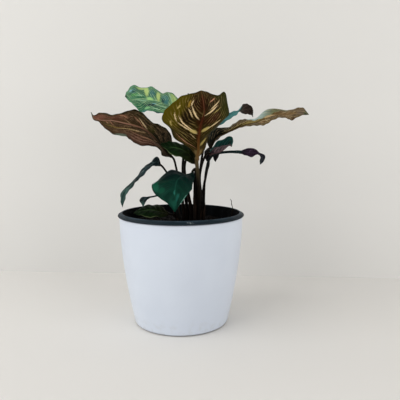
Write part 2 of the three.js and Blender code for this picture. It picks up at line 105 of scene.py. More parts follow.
class Finish:
    """A procedural material, built up node by node round one Principled shader."""

    def __init__(self, name):
        self.material = bpy.data.materials.new(name)
        self.material.use_nodes = True
        self.nodes = self.material.node_tree.nodes
        self.links = self.material.node_tree.links
        self.shader = self.nodes["Principled BSDF"]

    def plug(self, socket, value):
        if isinstance(value, Wire):
            self.links.new(value.socket, socket)
        else:
            socket.default_value = value

    def node(self, kind, settings, inputs, output=0):
        """A node of this kind: its settings first, then the values or wires of its sockets."""
        made = self.nodes.new(kind)
        for name, value in settings.items():
            if name == "stops":
                ramp = made.color_ramp.elements
                while len(ramp) < len(value):
                    ramp.new(1)
                for stop, (position, colour) in zip(ramp, value):
                    stop.position = position
                    stop.color = colour
            else:
                setattr(made, name, value)
        for name, value in inputs.items():
            self.plug(made.inputs[name], value)
        return Wire(self, made.outputs[output])

    def place(self, stretch=(1, 1, 1)):
        """The spot on the piece in metres, stretched along each axis."""
        spot = self.node("ShaderNodeTexCoord", {}, {}, "Object")
        return self.node("ShaderNodeMapping", {}, {"Vector": spot, "Scale": stretch})

    def axis(self, vector, name):
        return self.node("ShaderNodeSeparateXYZ", {}, {"Vector": vector}, name)

    def grain(self, where, scale, detail=2):
        return self.node("ShaderNodeTexNoise", {}, {"Vector": where, "Scale": scale, "Detail": detail})

    def mix(self, mask, under, over):
        """The colour under, covered by the colour over where the mask is 1."""
        inputs = {0: mask, 6: linear(under), 7: linear(over)}
        return self.node("ShaderNodeMix", {"data_type": "RGBA"}, inputs, 2)

    def ramp(self, value, colours):
        """Colours spaced evenly as the value goes from 0 to 1."""
        stops = [(index / (len(colours) - 1), linear(colour)) for index, colour in enumerate(colours)]
        return self.node("ShaderNodeValToRGB", {"stops": stops}, {"Fac": value})

    def done(self, colour, roughness, gloss, relief=None, depth=0):
        """Feeds the shader. The relief is 0 to 1, and depth its full height in mm."""
        self.plug(self.shader.inputs["Base Color"], linear(colour))
        self.plug(self.shader.inputs["Roughness"], roughness)
        self.shader.inputs["Specular IOR Level"].default_value = gloss
        if relief is not None:
            inputs = {"Height": relief, "Distance": depth * MM}
            self.plug(self.shader.inputs["Normal"], self.node("ShaderNodeBump", {}, inputs))
        return self.material


def placed(name, data):
    """Puts a mesh, a camera or a lamp into the scene."""
    thing = bpy.data.objects.new(name, data)
    bpy.context.scene.collection.objects.link(thing)
    return thing


def placed_mesh(name, bm):
    mesh = bpy.data.meshes.new(name)
    bm.to_mesh(mesh)
    bm.free()
    return placed(name, mesh)


def turned(outline):
    """A solid of revolution: an outline of (radius, height) in mm from axis to axis, spun round once."""
    bm = bmesh.new()
    points = [bm.verts.new((radius * MM, 0, height * MM)) for radius, height in outline]
    edges = [bm.edges.new(pair) for pair in zip(points, points[1:])]
    turn = {"cent": (0, 0, 0), "axis": (0, 0, 1), "angle": math.tau, "steps": POT_STEPS}
    bmesh.ops.spin(bm, geom=points + edges, use_merge=True, **turn)
    bmesh.ops.remove_doubles(bm, verts=bm.verts, dist=0.001 * MM)
    bmesh.ops.recalc_face_normals(bm, faces=bm.faces)
    return bm


def show(name, bm, finishes, node):
    """Makes the finished piece, which stands for a node and rides on the one body."""
    piece = placed_mesh(name, bm)
    for finish in finishes:
        piece.data.materials.append(finish)
    piece.data.shade_smooth()
    piece.data.set_sharp_from_angle(angle=SHARP_ANGLE)
    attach(piece, "root")
    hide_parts(node)
    return piece


def rounded(centre, radius, start, end, steps=5):
    """Points (radius, height) on an arc about a centre, from one angle in degrees to another."""
    angles = [math.radians(start + (end - start) * step / steps) for step in range(steps + 1)]
    return [(centre[0] + radius * math.cos(a), centre[1] + radius * math.sin(a)) for a in angles]


def side_radius(height):
    rise = (height - HEEL_HEIGHT) / (SHOULDER_HEIGHT - HEEL_HEIGHT)
    return MOUTH_RADIUS - (MOUTH_RADIUS - HEEL_RADIUS) * (1 - rise) ** BULGE_POWER


rings = np.linspace(HEEL_HEIGHT, SHOULDER_HEIGHT, SIDE_RINGS)
side = [(side_radius(height), height) for height in rings]
inside = [(radius - PLANTER_WALL, height) for radius, height in side if height > 2 * PLANTER_FLOOR]
heel = rounded((FOOT_RADIUS, HEEL_HEIGHT), HEEL_RADIUS - FOOT_RADIUS, -90, 0)
half_wall = PLANTER_WALL / 2
mouth = rounded((MOUTH_RADIUS - half_wall, PLANTER_HEIGHT - half_wall), half_wall, 0, 180)
floor = [(inside[0][0] - PLANTER_CORNER, PLANTER_FLOOR), (0, PLANTER_FLOOR)]
outline = [(0, 0), *heel, *side[1:], *mouth, *reversed(inside), *floor]

glaze = Finish("planter_white")
spot = glaze.place()
cloud = glaze.grain(spot, 14, 3)
orange_peel = glaze.grain(spot, 420)
streaks = glaze.grain(glaze.place((60, 60, 4)), 3, 4)
height = glaze.axis(spot, "Z")
dust = (1 - height.between(0, 20 * MM)) * glaze.grain(spot, 160, 5).between(0.45, 0.75)
body = glaze.mix(cloud.between(0.3, 0.7), (213, 221, 233), (206, 214, 227))
body = glaze.mix(dust * 0.35, body, (180, 178, 170))
# A dark band painted round the lowest 2 mm of the planter: painted shade where the heel meets the table.
foot_painted_shade = 1 - height.between(0.3 * MM, 2.2 * MM)
body = glaze.mix(foot_painted_shade * 0.8, body, (96, 94, 90))
sheen = 0.3 + streaks * 0.12 + dust * 0.25
planter_white = glaze.done(body, sheen, 0.35, orange_peel * 0.6 + streaks * 0.4, 0.05)
show("planter", turned(outline), [planter_white], "outer_pot")

# Nursery pot. A thin dark blue-grey plastic liner whose wide sloped lip sits on the planter's mouth,
# with drain holes in its floor. A patchy paler band along the lip's inner top edge is a painted
# highlight, and the lip is scuffed at the front. A scuff is its middle and how far it reaches.
LIP_RADIUS = 65
LIP_TOP = 115.3
LIP_TOP_RADIUS = 61.4
LIP_INNER_RADIUS = 60.2
LIP_UNDERSIDE = 111.7
LIP_EDGE_HEIGHT = 112.9
LIP_ROUND = 0.9
EDGE_BREAK = 0.5
LINER_MOUTH_RADIUS = 59
LINER_FOOT_RADIUS = 45
LINER_FOOT_HEIGHT = 7
LINER_WALL = 1.4
HEEL_BREAK = 1.5
DRAIN_COUNT = 6
DRAIN_RADIUS = 3.5
DRAIN_CIRCLE = 26
DRILL_SIDES = 24
SCUFFS = [((6, -63.1, 114.4), 1.3), ((8.5, -63.4, 113.7), 1.7), ((10.6, -63.1, 113.5), 1.2)]

liner_floor = LINER_FOOT_HEIGHT + LINER_WALL
liner_outside = [
    (0, LINER_FOOT_HEIGHT),
    (LINER_FOOT_RADIUS - HEEL_BREAK, LINER_FOOT_HEIGHT),
    (LINER_FOOT_RADIUS, LINER_FOOT_HEIGHT + HEEL_BREAK),
    (LINER_MOUTH_RADIUS, LIP_UNDERSIDE),
    (LIP_RADIUS - EDGE_BREAK, LIP_UNDERSIDE),
    (LIP_RADIUS, LIP_UNDERSIDE + EDGE_BREAK),
    (LIP_RADIUS, LIP_EDGE_HEIGHT - 0.4),
    (LIP_RADIUS - 0.3, LIP_EDGE_HEIGHT + EDGE_BREAK),
    (LIP_TOP_RADIUS + 0.7, LIP_TOP - 0.7),
    *rounded((LIP_TOP_RADIUS - 0.3, LIP_TOP - LIP_ROUND), LIP_ROUND, 60, 150, 4),
]
liner_inside = [
    (LIP_INNER_RADIUS - EDGE_BREAK, LIP_TOP - 1.6),
    (LINER_MOUTH_RADIUS - LINER_WALL, LIP_EDGE_HEIGHT - 1),
    (LINER_FOOT_RADIUS - LINER_WALL, liner_floor + 1),
    (LINER_FOOT_RADIUS - 3, liner_floor),
    (0, liner_floor),
]

plastic = Finish("nursery_pot_dark")
spot = plastic.place()
height = plastic.axis(spot, "Z")
scratches = plastic.grain(plastic.place((1, 1, 30)), 90, 5)
speckle = plastic.grain(spot, 700, 3)
# A patchy paler band along the lip's inner top edge: a painted highlight.
rim_painted_highlight = height.between((LIP_TOP - 1.6) * MM, (LIP_TOP - 0.2) * MM)
rim_painted_highlight *= plastic.grain(spot, 60, 4).between(0.3, 0.6)
lip_colour = plastic.mix(scratches.between(0.35, 0.75) * 0.6, (6, 24, 33), (12, 36, 46))
lip_colour = plastic.mix(rim_painted_highlight * 0.45, lip_colour, (60, 78, 90))
for middle, reach in SCUFFS:
    ends = {0: spot, 1: Vector(middle) * MM}
    away = plastic.node("ShaderNodeVectorMath", {"operation": "DISTANCE"}, ends, "Value")
    scuff = (1 - away.between(reach * 0.3 * MM, reach * MM)) * speckle.between(0.42, 0.56)
    lip_colour = plastic.mix(scuff * 0.8, lip_colour, (150, 158, 160))
satin = 0.42 + scratches * 0.25
nursery_dark = plastic.done(lip_colour, satin, 0.18, speckle * 0.5 + scratches * 0.5, 0.06)

# The liner's inside wall below the lip, painted near black with faint streaks: painted shade down inside
# the pot.
inside_shade = Finish("painted_shade_inside")
spot = inside_shade.place()
runs = inside_shade.grain(inside_shade.place((1, 1, 0.3)), 140, 4)
inside_shade_colour = inside_shade.mix(runs.between(0.4, 0.7), (2, 3, 4), (8, 11, 13))
painted_shade_inside = inside_shade.done(inside_shade_colour, 0.85, 0.03, runs, 0.1)


def drilled(piece, drills):
    """Cuts every drill out of the piece and keeps the result as its mesh."""
    cutter = placed_mesh("drills", drills)
    cut = piece.modifiers.new("drain holes", "BOOLEAN")
    cut.operation = "DIFFERENCE"
    cut.solver = "MANIFOLD"
    cut.object = cutter
    shaped = piece.evaluated_get(bpy.context.evaluated_depsgraph_get())
    mesh = bpy.data.meshes.new_from_object(shaped)
    piece.modifiers.clear()
    piece.data = mesh
    mesh.set_sharp_from_angle(angle=SHARP_ANGLE)
    bpy.data.objects.remove(cutter)


liner = turned(liner_outside + liner_inside)
# Faces on the inside below the lip take the painted shade finish.
for face in liner.faces:
    middle = face.calc_center_median()
    inward = face.normal.x * middle.x + face.normal.y * middle.y < 0
    face.material_index = int(inward and middle.z < (LIP_TOP - 1) * MM)
nursery_pot = show("nursery_pot", liner, [nursery_dark, painted_shade_inside], "inner_pot")
drills = bmesh.new()
for index in range(DRAIN_COUNT):
    angle = math.tau * index / DRAIN_COUNT
    centre = Vector((DRAIN_CIRCLE * math.cos(angle), DRAIN_CIRCLE * math.sin(angle), liner_floor))
    size = {"radius1": DRAIN_RADIUS * MM, "radius2": DRAIN_RADIUS * MM, "depth": 6 * LINER_WALL * MM}
    drill = bmesh.ops.create_cone(drills, cap_ends=True, segments=DRILL_SIDES, **size)
    bmesh.ops.translate(drills, verts=drill["verts"], vec=centre * MM)
drilled(nursery_pot, drills)

# Potting mix. Dark crumbly peat and fine bark, filled loose to about 12 mm under the lip, and
# settled into a root ball below. The crumbs on top lie half sunk in it.
SOIL_LEVEL = 103
SOIL_LOW = 8.7
SOIL_LOW_RADIUS = 43
SOIL_TOP_RADIUS = 55.3
SOIL_RINGS = 56
CRUMB_COUNT = 900
CRUMB_SIZES = (0.5, 1.5)
CRUMB_SHAPE = Vector((1, 0.9, 0.75))
CRUMB_SPREAD = 0.97
CRUMB_LIFT = 0.2
BARK_COUNT = 70
BARK_SHAPE = Vector((2.2, 1.1, 0.4))
crumb_draw = random.Random(7)


def soil_height(x, y):
    """The lie of the soil in mm: a long swell, lumps on it, and a fine crumble on those."""
    spot = Vector((x, y, 0))
    swell = 0.9 * math.sin(x * 0.11 - y * 0.19) + 0.8 * noise.noise(spot * 0.08)
    lumps = 0.9 * noise.noise(spot * 0.3) + 0.5 * noise.noise(spot * 0.9)
    return SOIL_LEVEL + swell + lumps


soil = turned([(0, SOIL_LOW), (SOIL_LOW_RADIUS, SOIL_LOW), (SOIL_TOP_RADIUS, SOIL_LEVEL - 2)]
              + [(SOIL_TOP_RADIUS * share, SOIL_LEVEL) for share in np.linspace(0.995, 0, SOIL_RINGS)])
for vert in soil.verts:
    if vert.co.z > (SOIL_LEVEL - 1) * MM:
        vert.co.z = soil_height(vert.co.x / MM, vert.co.y / MM) * MM
for index in range(CRUMB_COUNT + BARK_COUNT):
    bark = index >= CRUMB_COUNT
    angle = crumb_draw.uniform(0, math.tau)
    reach = SOIL_TOP_RADIUS * math.sqrt(crumb_draw.random()) * CRUMB_SPREAD
    x, y = reach * math.cos(angle), reach * math.sin(angle)
    radius = crumb_draw.uniform(*CRUMB_SIZES)
    lump = bmesh.ops.create_icosphere(soil, subdivisions=1, radius=radius * MM)["verts"]
    shape = BARK_SHAPE if bark else CRUMB_SHAPE
    for vert in lump:
        vert.co = vert.co * shape * crumb_draw.uniform(0.75, 1.2)
    tilt = Euler((crumb_draw.uniform(-0.5, 0.5), crumb_draw.uniform(-0.5, 0.5), crumb_draw.uniform(0, 6)))
    bmesh.ops.rotate(soil, verts=lump, cent=(0, 0, 0), matrix=tilt.to_matrix())
    place = Vector((x, y, soil_height(x, y) + CRUMB_LIFT * radius))
    bmesh.ops.translate(soil, verts=lump, vec=place * MM)
    for face in {face for vert in lump for face in vert.link_faces}:
        face.material_index = int(bark)

peat = Finish("potting_mix")
spot = peat.place()
clods = peat.grain(spot, 500, 6)
fibre = peat.grain(peat.place((1, 3, 1)), 900, 4)
damp = peat.grain(spot, 40, 2).between(0.35, 0.7)
peat_colour = peat.ramp(clods.between(0.3, 0.75), [(3, 2, 2), (12, 9, 7), (30, 23, 17)])
peat_colour = peat.mix(damp * 0.6, peat_colour, (4, 3, 3))
peat_dark = peat.done(peat_colour, 0.95 - damp * 0.25, 0.08, clods * 0.6 + fibre * 0.4, 0.8)

chip = Finish("bark_chip")
spot = chip.place((1, 1, 6))
grain = chip.grain(spot, 700, 5)
chip_colour = chip.ramp(grain.between(0.3, 0.7), [(10, 7, 5), (30, 19, 13), (52, 37, 26)])
bark_brown = chip.done(chip_colour, 0.9, 0.1, grain, 0.4)
show("potting_mix", soil, [peat_dark, bark_brown], "soil")

# Leaves. Each one is a blade of thin tissue, pleated between its side veins, on the end of a round
# stalk that swells just under the blade and wears an old torn sheath round its foot.

# Places are in mm. The midrib runs from base to tip, and the margins are left and right as seen from
# the base with the upper side up. The path is the stalk's, and the root is where it leaves the soil.
# Radii are the stalk's, low down and under the blade. Arch is how far each half bows, as a share of
# its width. Wave is the margin's ripple: its height, its count and where it starts. A stalk is dark
# where nothing else is said.
LEAVES = {
    "centre": {
        "midrib": [(16, -14, 170), (16.5, -20, 177), (16.5, -27, 185.5), (17, -35, 194.5), (18.5, -43, 204),
            (21, -50, 212.5), (20, -58, 221.5), (18, -64, 231)],
        "left": [(23, -14, 178.5), (27, -14, 187.5), (30, -15, 198), (38.5, -18, 204), (46.5, -22, 213),
            (45, -28, 221.5), (41.5, -38, 232), (33, -48, 229), (24.5, -57, 230)],
        "right": [(11, -16, 178), (3, -19, 184.5), (-6.5, -23, 190.5), (-10, -29, 199), (-17.5, -34, 207),
            (-15.5, -40, 213.5), (-9, -46, 220.5), (-0.5, -52, 226.5), (9, -58, 228.5)],
        "path": [(18.6, -9, 128), (17.3, -12, 150)],
        "root": (19, -7.2), "radii": (1.8, 1.9), "arch": (-0.1, -0.12), "wave": (0.8, 4, 3.1),
        "look": "olive", "stalk": "light",
    },
    "left": {
        "midrib": [(-9.5, 6, 171), (-16, 4, 178.5), (-23.5, 1, 188), (-33, -4, 198), (-42.5, -9, 202.5),
            (-53.5, -14, 205), (-64.5, -18, 207.5), (-75, -21, 208), (-82, -23, 209), (-85.5, -23, 215)],
        "left": [(-8, -1, 183), (-10.5, -6, 196), (-19.5, -9, 202.5), (-28, -14, 206.5), (-36, -20, 214),
            (-44.5, -25, 217), (-54.5, -28, 215), (-65, -29, 212), (-76, -28, 214), (-82.5, -25, 212)],
        "right": [(-19, 12, 173), (-23, 14, 179), (-31.5, 14, 183), (-43.5, 10, 184), (-52, 5, 188.5),
            (-56.5, -1, 193), (-67.5, -6, 194.5), (-75, -12, 200), (-79, -18, 206), (-84, -22, 208)],
        "path": [(1.6, 2.5, 126), (-3, 4, 150)],
        "root": (3, 2), "radii": (1.5, 1.1), "arch": (0.1, 0.1), "wave": (0.8, 4, 1), "look": "maroon",
    },
    "back_left": {
        "midrib": [(10, 20, 209), (-0.5, 26, 219), (-11.5, 31, 225.5), (-22.5, 35, 230.5), (-33.5, 38, 233),
            (-44.5, 40, 234), (-54.5, 42, 233.5), (-61, 43, 237)],
        "left": [(4.5, 14, 209), (-8, 16, 213), (-19.5, 19, 217), (-30.5, 22, 219.5), (-40, 25, 218.5),
            (-48, 30, 224), (-55, 37, 230.5)],
        "right": [(4.5, 30, 223.5), (-4, 40, 235), (-13, 46, 243), (-22, 49, 241.5), (-33, 52, 249),
            (-44, 53, 248), (-54, 52, 249.5), (-59.5, 48, 243.5)],
        "path": [(6.2, 6, 120), (3.8, 10, 139), (1.9, 15, 162), (6, 17, 190)],
        "root": (6.8, 4.8), "radii": (1.5, 1.3), "arch": (0.08, 0.1), "wave": (1.2, 4, 0), "look": "pale",
    },
    "long_right": {
        "midrib": [(29.5, 3, 180), (36.5, 5, 192), (46.5, 3, 197), (56.5, 1, 201.5), (66.5, -1, 205.5),
            (76.5, -2, 207.5), (86.5, -3, 211), (96.5, -4, 214.5), (107.5, -5, 214.5), (118.5, -6, 216),
            (129.5, -7, 214.5)],
        "left": [(36, 10, 187), (43.5, 18, 193), (54.5, 20, 199.5), (64, 20, 202.5), (74, 20, 204),
            (82.5, 19, 204.5), (89.5, 17, 205), (96.5, 16, 209.5), (104.5, 14, 212.5), (111.5, 11, 211.5),
            (116, 8, 209.5), (123, 2, 213.5)],
        "right": [(26, -3, 189.5), (31, -8, 200.5), (46, -14, 201), (52, -18, 204.5), (59, -20, 208.5),
            (64.5, -22, 208.5), (71, -23, 207.5), (78.5, -25, 209.5), (87.5, -25, 213.5), (95, -24, 216.5),
            (103.5, -23, 216.5), (113, -20, 219.5), (121, -15, 220.5)],
        "path": [(22, 0.6, 124), (19.2, 1.8, 149), (21, 2, 163)],
        "root": (23.4, 0.4), "radii": (1.5, 1.1),
        "arch": (0.05, (0.08, 0.05, 0.05, 0.05, 0.08, 0.3, 0.12, 0.05, 0.05)), "wave": (0, 4, 0),
        "look": "gold",
    },
    "back_right": {
        "midrib": [(27, 20, 196.5), (36, 26, 203.5), (45, 32, 210.5), (55.5, 37, 216), (64.5, 41, 221.5),
            (73, 44, 224), (79, 45, 222.5), (81, 45, 215)],
        "left": [(35, 34, 209), (44.5, 42, 216.5), (55.5, 48, 220.5), (64.5, 51, 222.5), (70.5, 50, 219),
            (76, 50, 218.5), (80, 48, 217)],
        "right": [(34.5, 20, 200), (44, 22, 206), (54, 25, 212.5), (62, 29, 218), (68, 34, 228),
            (74.5, 38, 228.5), (80, 42, 224.5)],
        "path": [(18.8, 1.6, 120), (18.6, 6, 138), (21, 12.5, 163), (24, 17, 182)],
        "root": (19, 0.4), "radii": (1.5, 1.1), "arch": (0.05, 0.05), "wave": (0, 3, 0), "look": "teal",
    },
    "back_centre": {
        "midrib": [(19, 15, 197.5), (20, 22, 213), (17, 32, 229), (8, 41, 240.6)],
        "left": [(16, 18, 204), (14.5, 24, 214), (11.5, 32, 228), (7, 38, 237)],
        "right": [(25, 14, 206), (28, 21, 219), (22, 32, 232)],
        "path": [(10.2, 1.4, 120), (6.8, 5, 138), (4, 11, 163), (12.5, 14, 184)],
        "root": (10.8, 0.6), "radii": (1.5, 1.1), "arch": (0.08, 0.08), "wave": (0.6, 3, 0), "look": "deep",
    },
    "folded_right": {
        "midrib": [(28, -14, 175), (32.5, -17, 176.5), (37.5, -20, 177.5), (42, -22, 180),
            (46.5, -24, 183.5), (49.5, -26, 182.5)],
        "left": [(30.5, -8, 180), (35.5, -6, 186), (41.5, -5, 189.5), (47.5, -7, 192), (51, -12, 192),
            (51.5, -19, 187.5)],
        "right": [(30.5, -22, 179), (35, -27, 182), (39.5, -30, 183), (44, -31, 184), (48, -30, 184.5)],
        "path": [(20.2, -4, 124), (19, -6.2, 147), (20.3, -8.5, 160.5)],
        "root": (21.2, -3.4), "radii": (1.5, 1.1), "arch": (0.05, 0.05), "wave": (0.4, 4, 0),
        "look": "violet",
    },
    "rolled_right": {
        "midrib": [(58, -14, 177), (62, -14.5, 177), (66.5, -15, 176.5), (70.5, -16, 176), (74.5, -17, 176),
            (77.5, -17.5, 175), (81, -18.5, 172.5), (80.5, -19.5, 168), (78.5, -20, 164.5)],
        "left": [(62.5, -11, 178.5), (67, -9, 180), (72, -9, 180), (75.5, -12, 178.5), (78, -15, 176),
            (83.5, -15.5, 173), (82.5, -17, 168.5)],
        "right": [(61.5, -18, 174.5), (65.5, -20, 173), (70, -21, 172), (74, -20.5, 174),
            (76.5, -19.5, 174.5), (78.5, -20.5, 171.5), (77.5, -21.5, 168)],
        "path": [(23.4, -7.6, 128), (24.4, -9, 150.5), (27.4, -9, 167), (32, -9.3, 173.4), (39, -10, 176),
            (49, -12, 177)],
        "root": (23.4, -7.2), "radii": (1.1, 1.4), "arch": (0.3, 0.1), "wave": (0, 3, 0), "look": "furled",
        "stalk": "teal",
    },
    "shade_near": {
        "midrib": [(29, 9, 166.5), (29, 10.5, 171.5), (29, 11.5, 176.5), (28.5, 12, 181)],
        "left": [(31, 11, 168), (33.5, 12, 172.5), (33, 11, 177.5)],
        "right": [(26.5, 9, 167.5), (24.5, 8, 172.5), (24.5, 8, 177)],
        "path": [(21.5, 4.8, 120), (23.1, 5, 136), (26.3, 8, 153.5)],
        "root": (21.2, 4.2), "radii": (1.5, 1), "arch": (0.1, 0.1), "wave": (0.5, 3, 3.1), "look": "shade",
    },
    "shade_far": {
        "midrib": [(35, 13, 177.5), (37, 14, 174.5), (37.5, 14.5, 170), (36.5, 14, 166)],
        "left": [(34, 13, 174.5), (34, 13, 171.5), (35, 14, 168)],
        "right": [(40.5, 14, 176), (40.5, 15, 173), (38.5, 15, 169)],
        "path": [(23.4, 8.4, 122), (24, 10, 139), (27.3, 14, 155.5), (30, 18.5, 167), (32, 20, 174.5)],
        "root": (23.4, 8.2), "radii": (1.5, 0.9), "arch": (0.1, 0.1), "wave": (0.5, 3, 3.1),
        "look": "shade",
    },
    "under_left": {
        "midrib": [(15, -7, 164.5), (8, -11, 175), (0, -13, 179.5), (-9, -14, 181.5), (-15.5, -14, 182.5),
            (-20.5, -13, 184.5)],
        "left": [(10, -12, 165.5), (1.5, -19, 171), (-6, -23, 173), (-12.5, -21, 177.5), (-18, -16, 182)],
        "right": [(15.5, -5, 177), (7, -4, 182.5), (-3, -4, 186.5), (-11, -5, 187), (-17.5, -8, 186.5)],
        "path": [(16.4, -2.8, 126), (15.6, -1.8, 148), (16, -4, 158)],
        "root": (16.8, -3.4), "radii": (1.5, 1), "arch": (0.08, 0.08), "wave": (0.6, 3, 0), "look": "moss",
    },
    "front_hanging": {
        "midrib": [(12.5, -9, 158), (7, -18, 154), (0.5, -28, 153.5), (-4, -37, 149.5), (-5.5, -43, 141),
            (-5.5, -45, 132.5), (-6, -45, 121)],
        "left": [(13.5, -14, 153), (12.6, -22, 149.8), (11.2, -30, 145.5), (10, -36, 141.5),
            (4.8, -41, 135.5), (-0.5, -44, 129)],
        "right": [(9, -8, 155), (2, -8, 154), (-5, -9, 157.5), (-13, -12, 158), (-22.5, -21, 150),
            (-28, -31, 145.5), (-26, -37, 139), (-19.5, -42, 133.5), (-12.5, -45, 129)],
        "path": [(13.8, -7.4, 128), (13.8, -6.4, 147)],
        "root": (14, -7.2), "radii": (1.5, 1.1), "arch": (0.08, 0.08), "wave": (0.6, 3, 0),
        "look": "emerald",
    },
    "drooping_left": {
        "midrib": [(-20.5, -4, 163), (-25, -6, 167), (-31, -8, 163.5), (-38, -10, 158), (-43, -12, 151),
            (-50, -14, 144), (-55.5, -16, 136.5), (-58.5, -18, 122.5)],
        "left": [(-22.5, -9, 162.5), (-27.5, -14, 163), (-34, -18, 157.5), (-40.5, -20, 151),
            (-46, -22, 145), (-52, -22, 138), (-55, -20, 131)],
        "right": [(-21.5, -1, 168.5), (-24.5, 0, 172), (-31, 2, 165.5), (-37, 2, 162), (-42, 0, 154),
            (-48, -3, 147.5), (-54.5, -8, 141.5), (-60.5, -12, 135), (-60.5, -15, 128.5)],
        "path": [(-4.5, -2.2, 126), (-10.5, -2.8, 148)],
        "root": (-2.5, -2), "radii": (1.5, 1), "arch": (0.1, 0.1), "wave": (0.4, 4, 0), "look": "slate",
    },
    "small_left": {
        "midrib": [(-32, -16, 132), (-35.5, -17, 131.5), (-38, -18, 128.5), (-38, -19, 122.5)],
        "left": [(-32, -19, 131), (-34, -21, 129.5), (-36, -20, 125.5)],
        "right": [(-36, -14, 132), (-40, -13, 131.5), (-41.5, -15, 128.5), (-39.5, -18, 125.5)],
        "path": [(-3.2, -7.6, 115), (-8, -10, 127), (-18, -13.5, 134)],
        "root": (-2, -7), "radii": (1.3, 0.8), "arch": (0.1, 0.1), "wave": (0.2, 3, 0), "look": "slate",
        "stalk": "teal",
    },
    "low_left": {
        "midrib": [(-11.5, 0, 112.5), (-22, -4, 116), (-31.5, -8, 118), (-41.5, -12, 117.5),
            (-48, -14, 116)],
        "left": [(-18.5, -8, 111), (-29, -17, 112), (-39, -19, 113.5)],
        "right": [(-20, 4, 120), (-30.5, 6, 122), (-40.5, 0, 120)],
        "path": [(-5, 2.8, 109)],
        "root": (-4.5, 3), "radii": (1.2, 0.9), "arch": (0.08, 0.08), "wave": (0.8, 3, 0), "look": "moss",
    },
}


def smooth_curve(points, shares):
    """Places along a Catmull-Rom curve through the points, at shares from 0 to 1."""
    points = np.array(points, float)
    padded = np.vstack([2 * points[0] - points[1], points, 2 * points[-1] - points[-2]])
    place = np.clip(shares, 0, 1) * (len(points) - 1)
    index = np.minimum(place.astype(int), len(points) - 2)
    t = (place - index)[:, None]
    a, b, c, d = (padded[index + step] for step in range(4))
    cubic = (3 * b - a - 3 * c + d) * t**3 + (2 * a - 5 * b + 4 * c - d) * t**2
    return 0.5 * (cubic + (c - a) * t + 2 * b)


def unit(vectors):
    return vectors / np.linalg.norm(vectors, axis=-1, keepdims=True)


def tangents(points, shares):
    step = 1e-3
    return unit(smooth_curve(points, shares + step) - smooth_curve(points, shares - step))


def length_of(points):
    return np.linalg.norm(np.diff(points, axis=0), axis=1).sum()


def along_leaf(value, shares):
    """One number for the whole leaf, or several spaced evenly from base to tip, blended smoothly."""
    if isinstance(value, (int, float)):
        return np.full(len(shares), float(value))
    value = np.array(value, float)
    place = np.clip(shares, 0, 1) * (len(value) - 1)
    index = np.minimum(place.astype(int), len(value) - 2)
    t = place - index
    return value[index] + (value[index + 1] - value[index]) * t * t * (3 - 2 * t)


BASE_HALF_WIDTH = 1.2
TIP_HALF_WIDTH = 0.7
FULL_WAVE_WIDTH = 8
MARGIN_SHIFT = 1.9
MIDDLE_THICKNESS = 0.5
EDGE_THICKNESS = 0.16
GROOVE_DEPTH = 0.35
GROOVE_WIDTH = 1.3
PLEAT_HEIGHT = 0.28
FRILL_HEIGHT = 0.35
FRILL_LENGTH = 7.5
VEIN_SPACING = 0.14
VEIN_LEAN = 0.2
PINCHED = 0.001


def margin_curve(midrib, margin, shares):
    base, tip = np.array(midrib[0], float), np.array(midrib[-1], float)
    first = base + unit(np.array(margin[0]) - base) * BASE_HALF_WIDTH
    last = tip + unit(np.array(margin[-1]) - tip) * TIP_HALF_WIDTH
    return smooth_curve([first, *margin, last], shares)


def blade_surface(leaf, shares, across, spacing, lean):
    """The middle of the tissue, in mm: a row of places for each share, from left margin to right."""
    centre = smooth_curve(leaf["midrib"], shares)
    along = tangents(leaf["midrib"], shares)
    edges = [margin_curve(leaf["midrib"], leaf[half], shares) for half in ("left", "right")]
    up = unit(np.cross(edges[1] - edges[0], along))
    length = length_of(centre)
    height, count, phase = leaf["wave"]
    surface = np.zeros((len(shares), len(across), 3))
    for column, place in enumerate(across):
        half = int(place > 0)
        out = abs(place)
        reach = edges[half] - centre
        width = np.linalg.norm(reach, axis=1)
        fullness = np.minimum(1, width / FULL_WAVE_WIDTH)
        arch = along_leaf(leaf["arch"][half], shares) * 4 * out * (1 - out) * width
        wave = height * out**2 * np.sin(math.tau * count * shares + phase + MARGIN_SHIFT * half)
        frill_turn = math.tau * shares * length / FRILL_LENGTH + phase + half
        frill = FRILL_HEIGHT * out**4 * np.sin(frill_turn)
        veins = (shares - lean * out) / spacing + 0.5 * half
        pleat = PLEAT_HEIGHT * (1 - out**4) * min(1, 6 * out) * np.cos(math.tau * veins)
        groove = GROOVE_DEPTH * np.exp(-((out * width / GROOVE_WIDTH) ** 2))
        lift = arch + (wave + frill + pleat) * fullness - groove
        surface[:, column] = centre + reach * out + up * lift[:, None]
    return surface


def rims_along(centres):
    """At each step of a rod, the two directions that span its cross section, without any twist."""
    along = unit(np.gradient(centres, axis=0))
    side = np.cross(along[0], (0.3, 1, 0.1))
    rims = []
    for forward in along:
        side = unit(side - forward * np.dot(side, forward))
        rims.append((side, np.cross(forward, side)))
    return rims


def outward(rim, angle):
    return rim[0] * math.cos(angle) + rim[1] * math.sin(angle)


def sheet(bm, wide, high, finish, place):
    """A bent grid of faces with its UV map. From a corner's way across, -1 to 1, and its way up, 0 to 1,
    place works out its spot in mm. Gives the sheet's corners and faces."""
    corners = bmesh.ops.create_grid(bm, x_segments=wide, y_segments=high, size=1, calc_uvs=True)["verts"]
    for vert in corners:
        vert.co = Vector(place(vert.co.x, (vert.co.y + 1) / 2)) * MM
    faces = list(dict.fromkeys(face for vert in corners for face in vert.link_faces))
    for face in faces:
        face.material_index = finish
    return corners, faces


def tube(bm, centres, radii, sides, finish=0):
    """A round rod in mm: a sheet wrapped round the centres and pinched shut at both ends, then welded."""
    steps = len(centres) - 1
    rims = rims_along(centres)
    radii = radii.copy()
    radii[[0, -1]] = PINCHED

    def place(aside, rise):
        step = round(rise * steps)
        return centres[step] + outward(rims[step], math.pi * aside) * radii[step]

    corners, _ = sheet(bm, sides, steps, finish, place)
    bmesh.ops.remove_doubles(bm, verts=corners, dist=2 * PINCHED * MM)


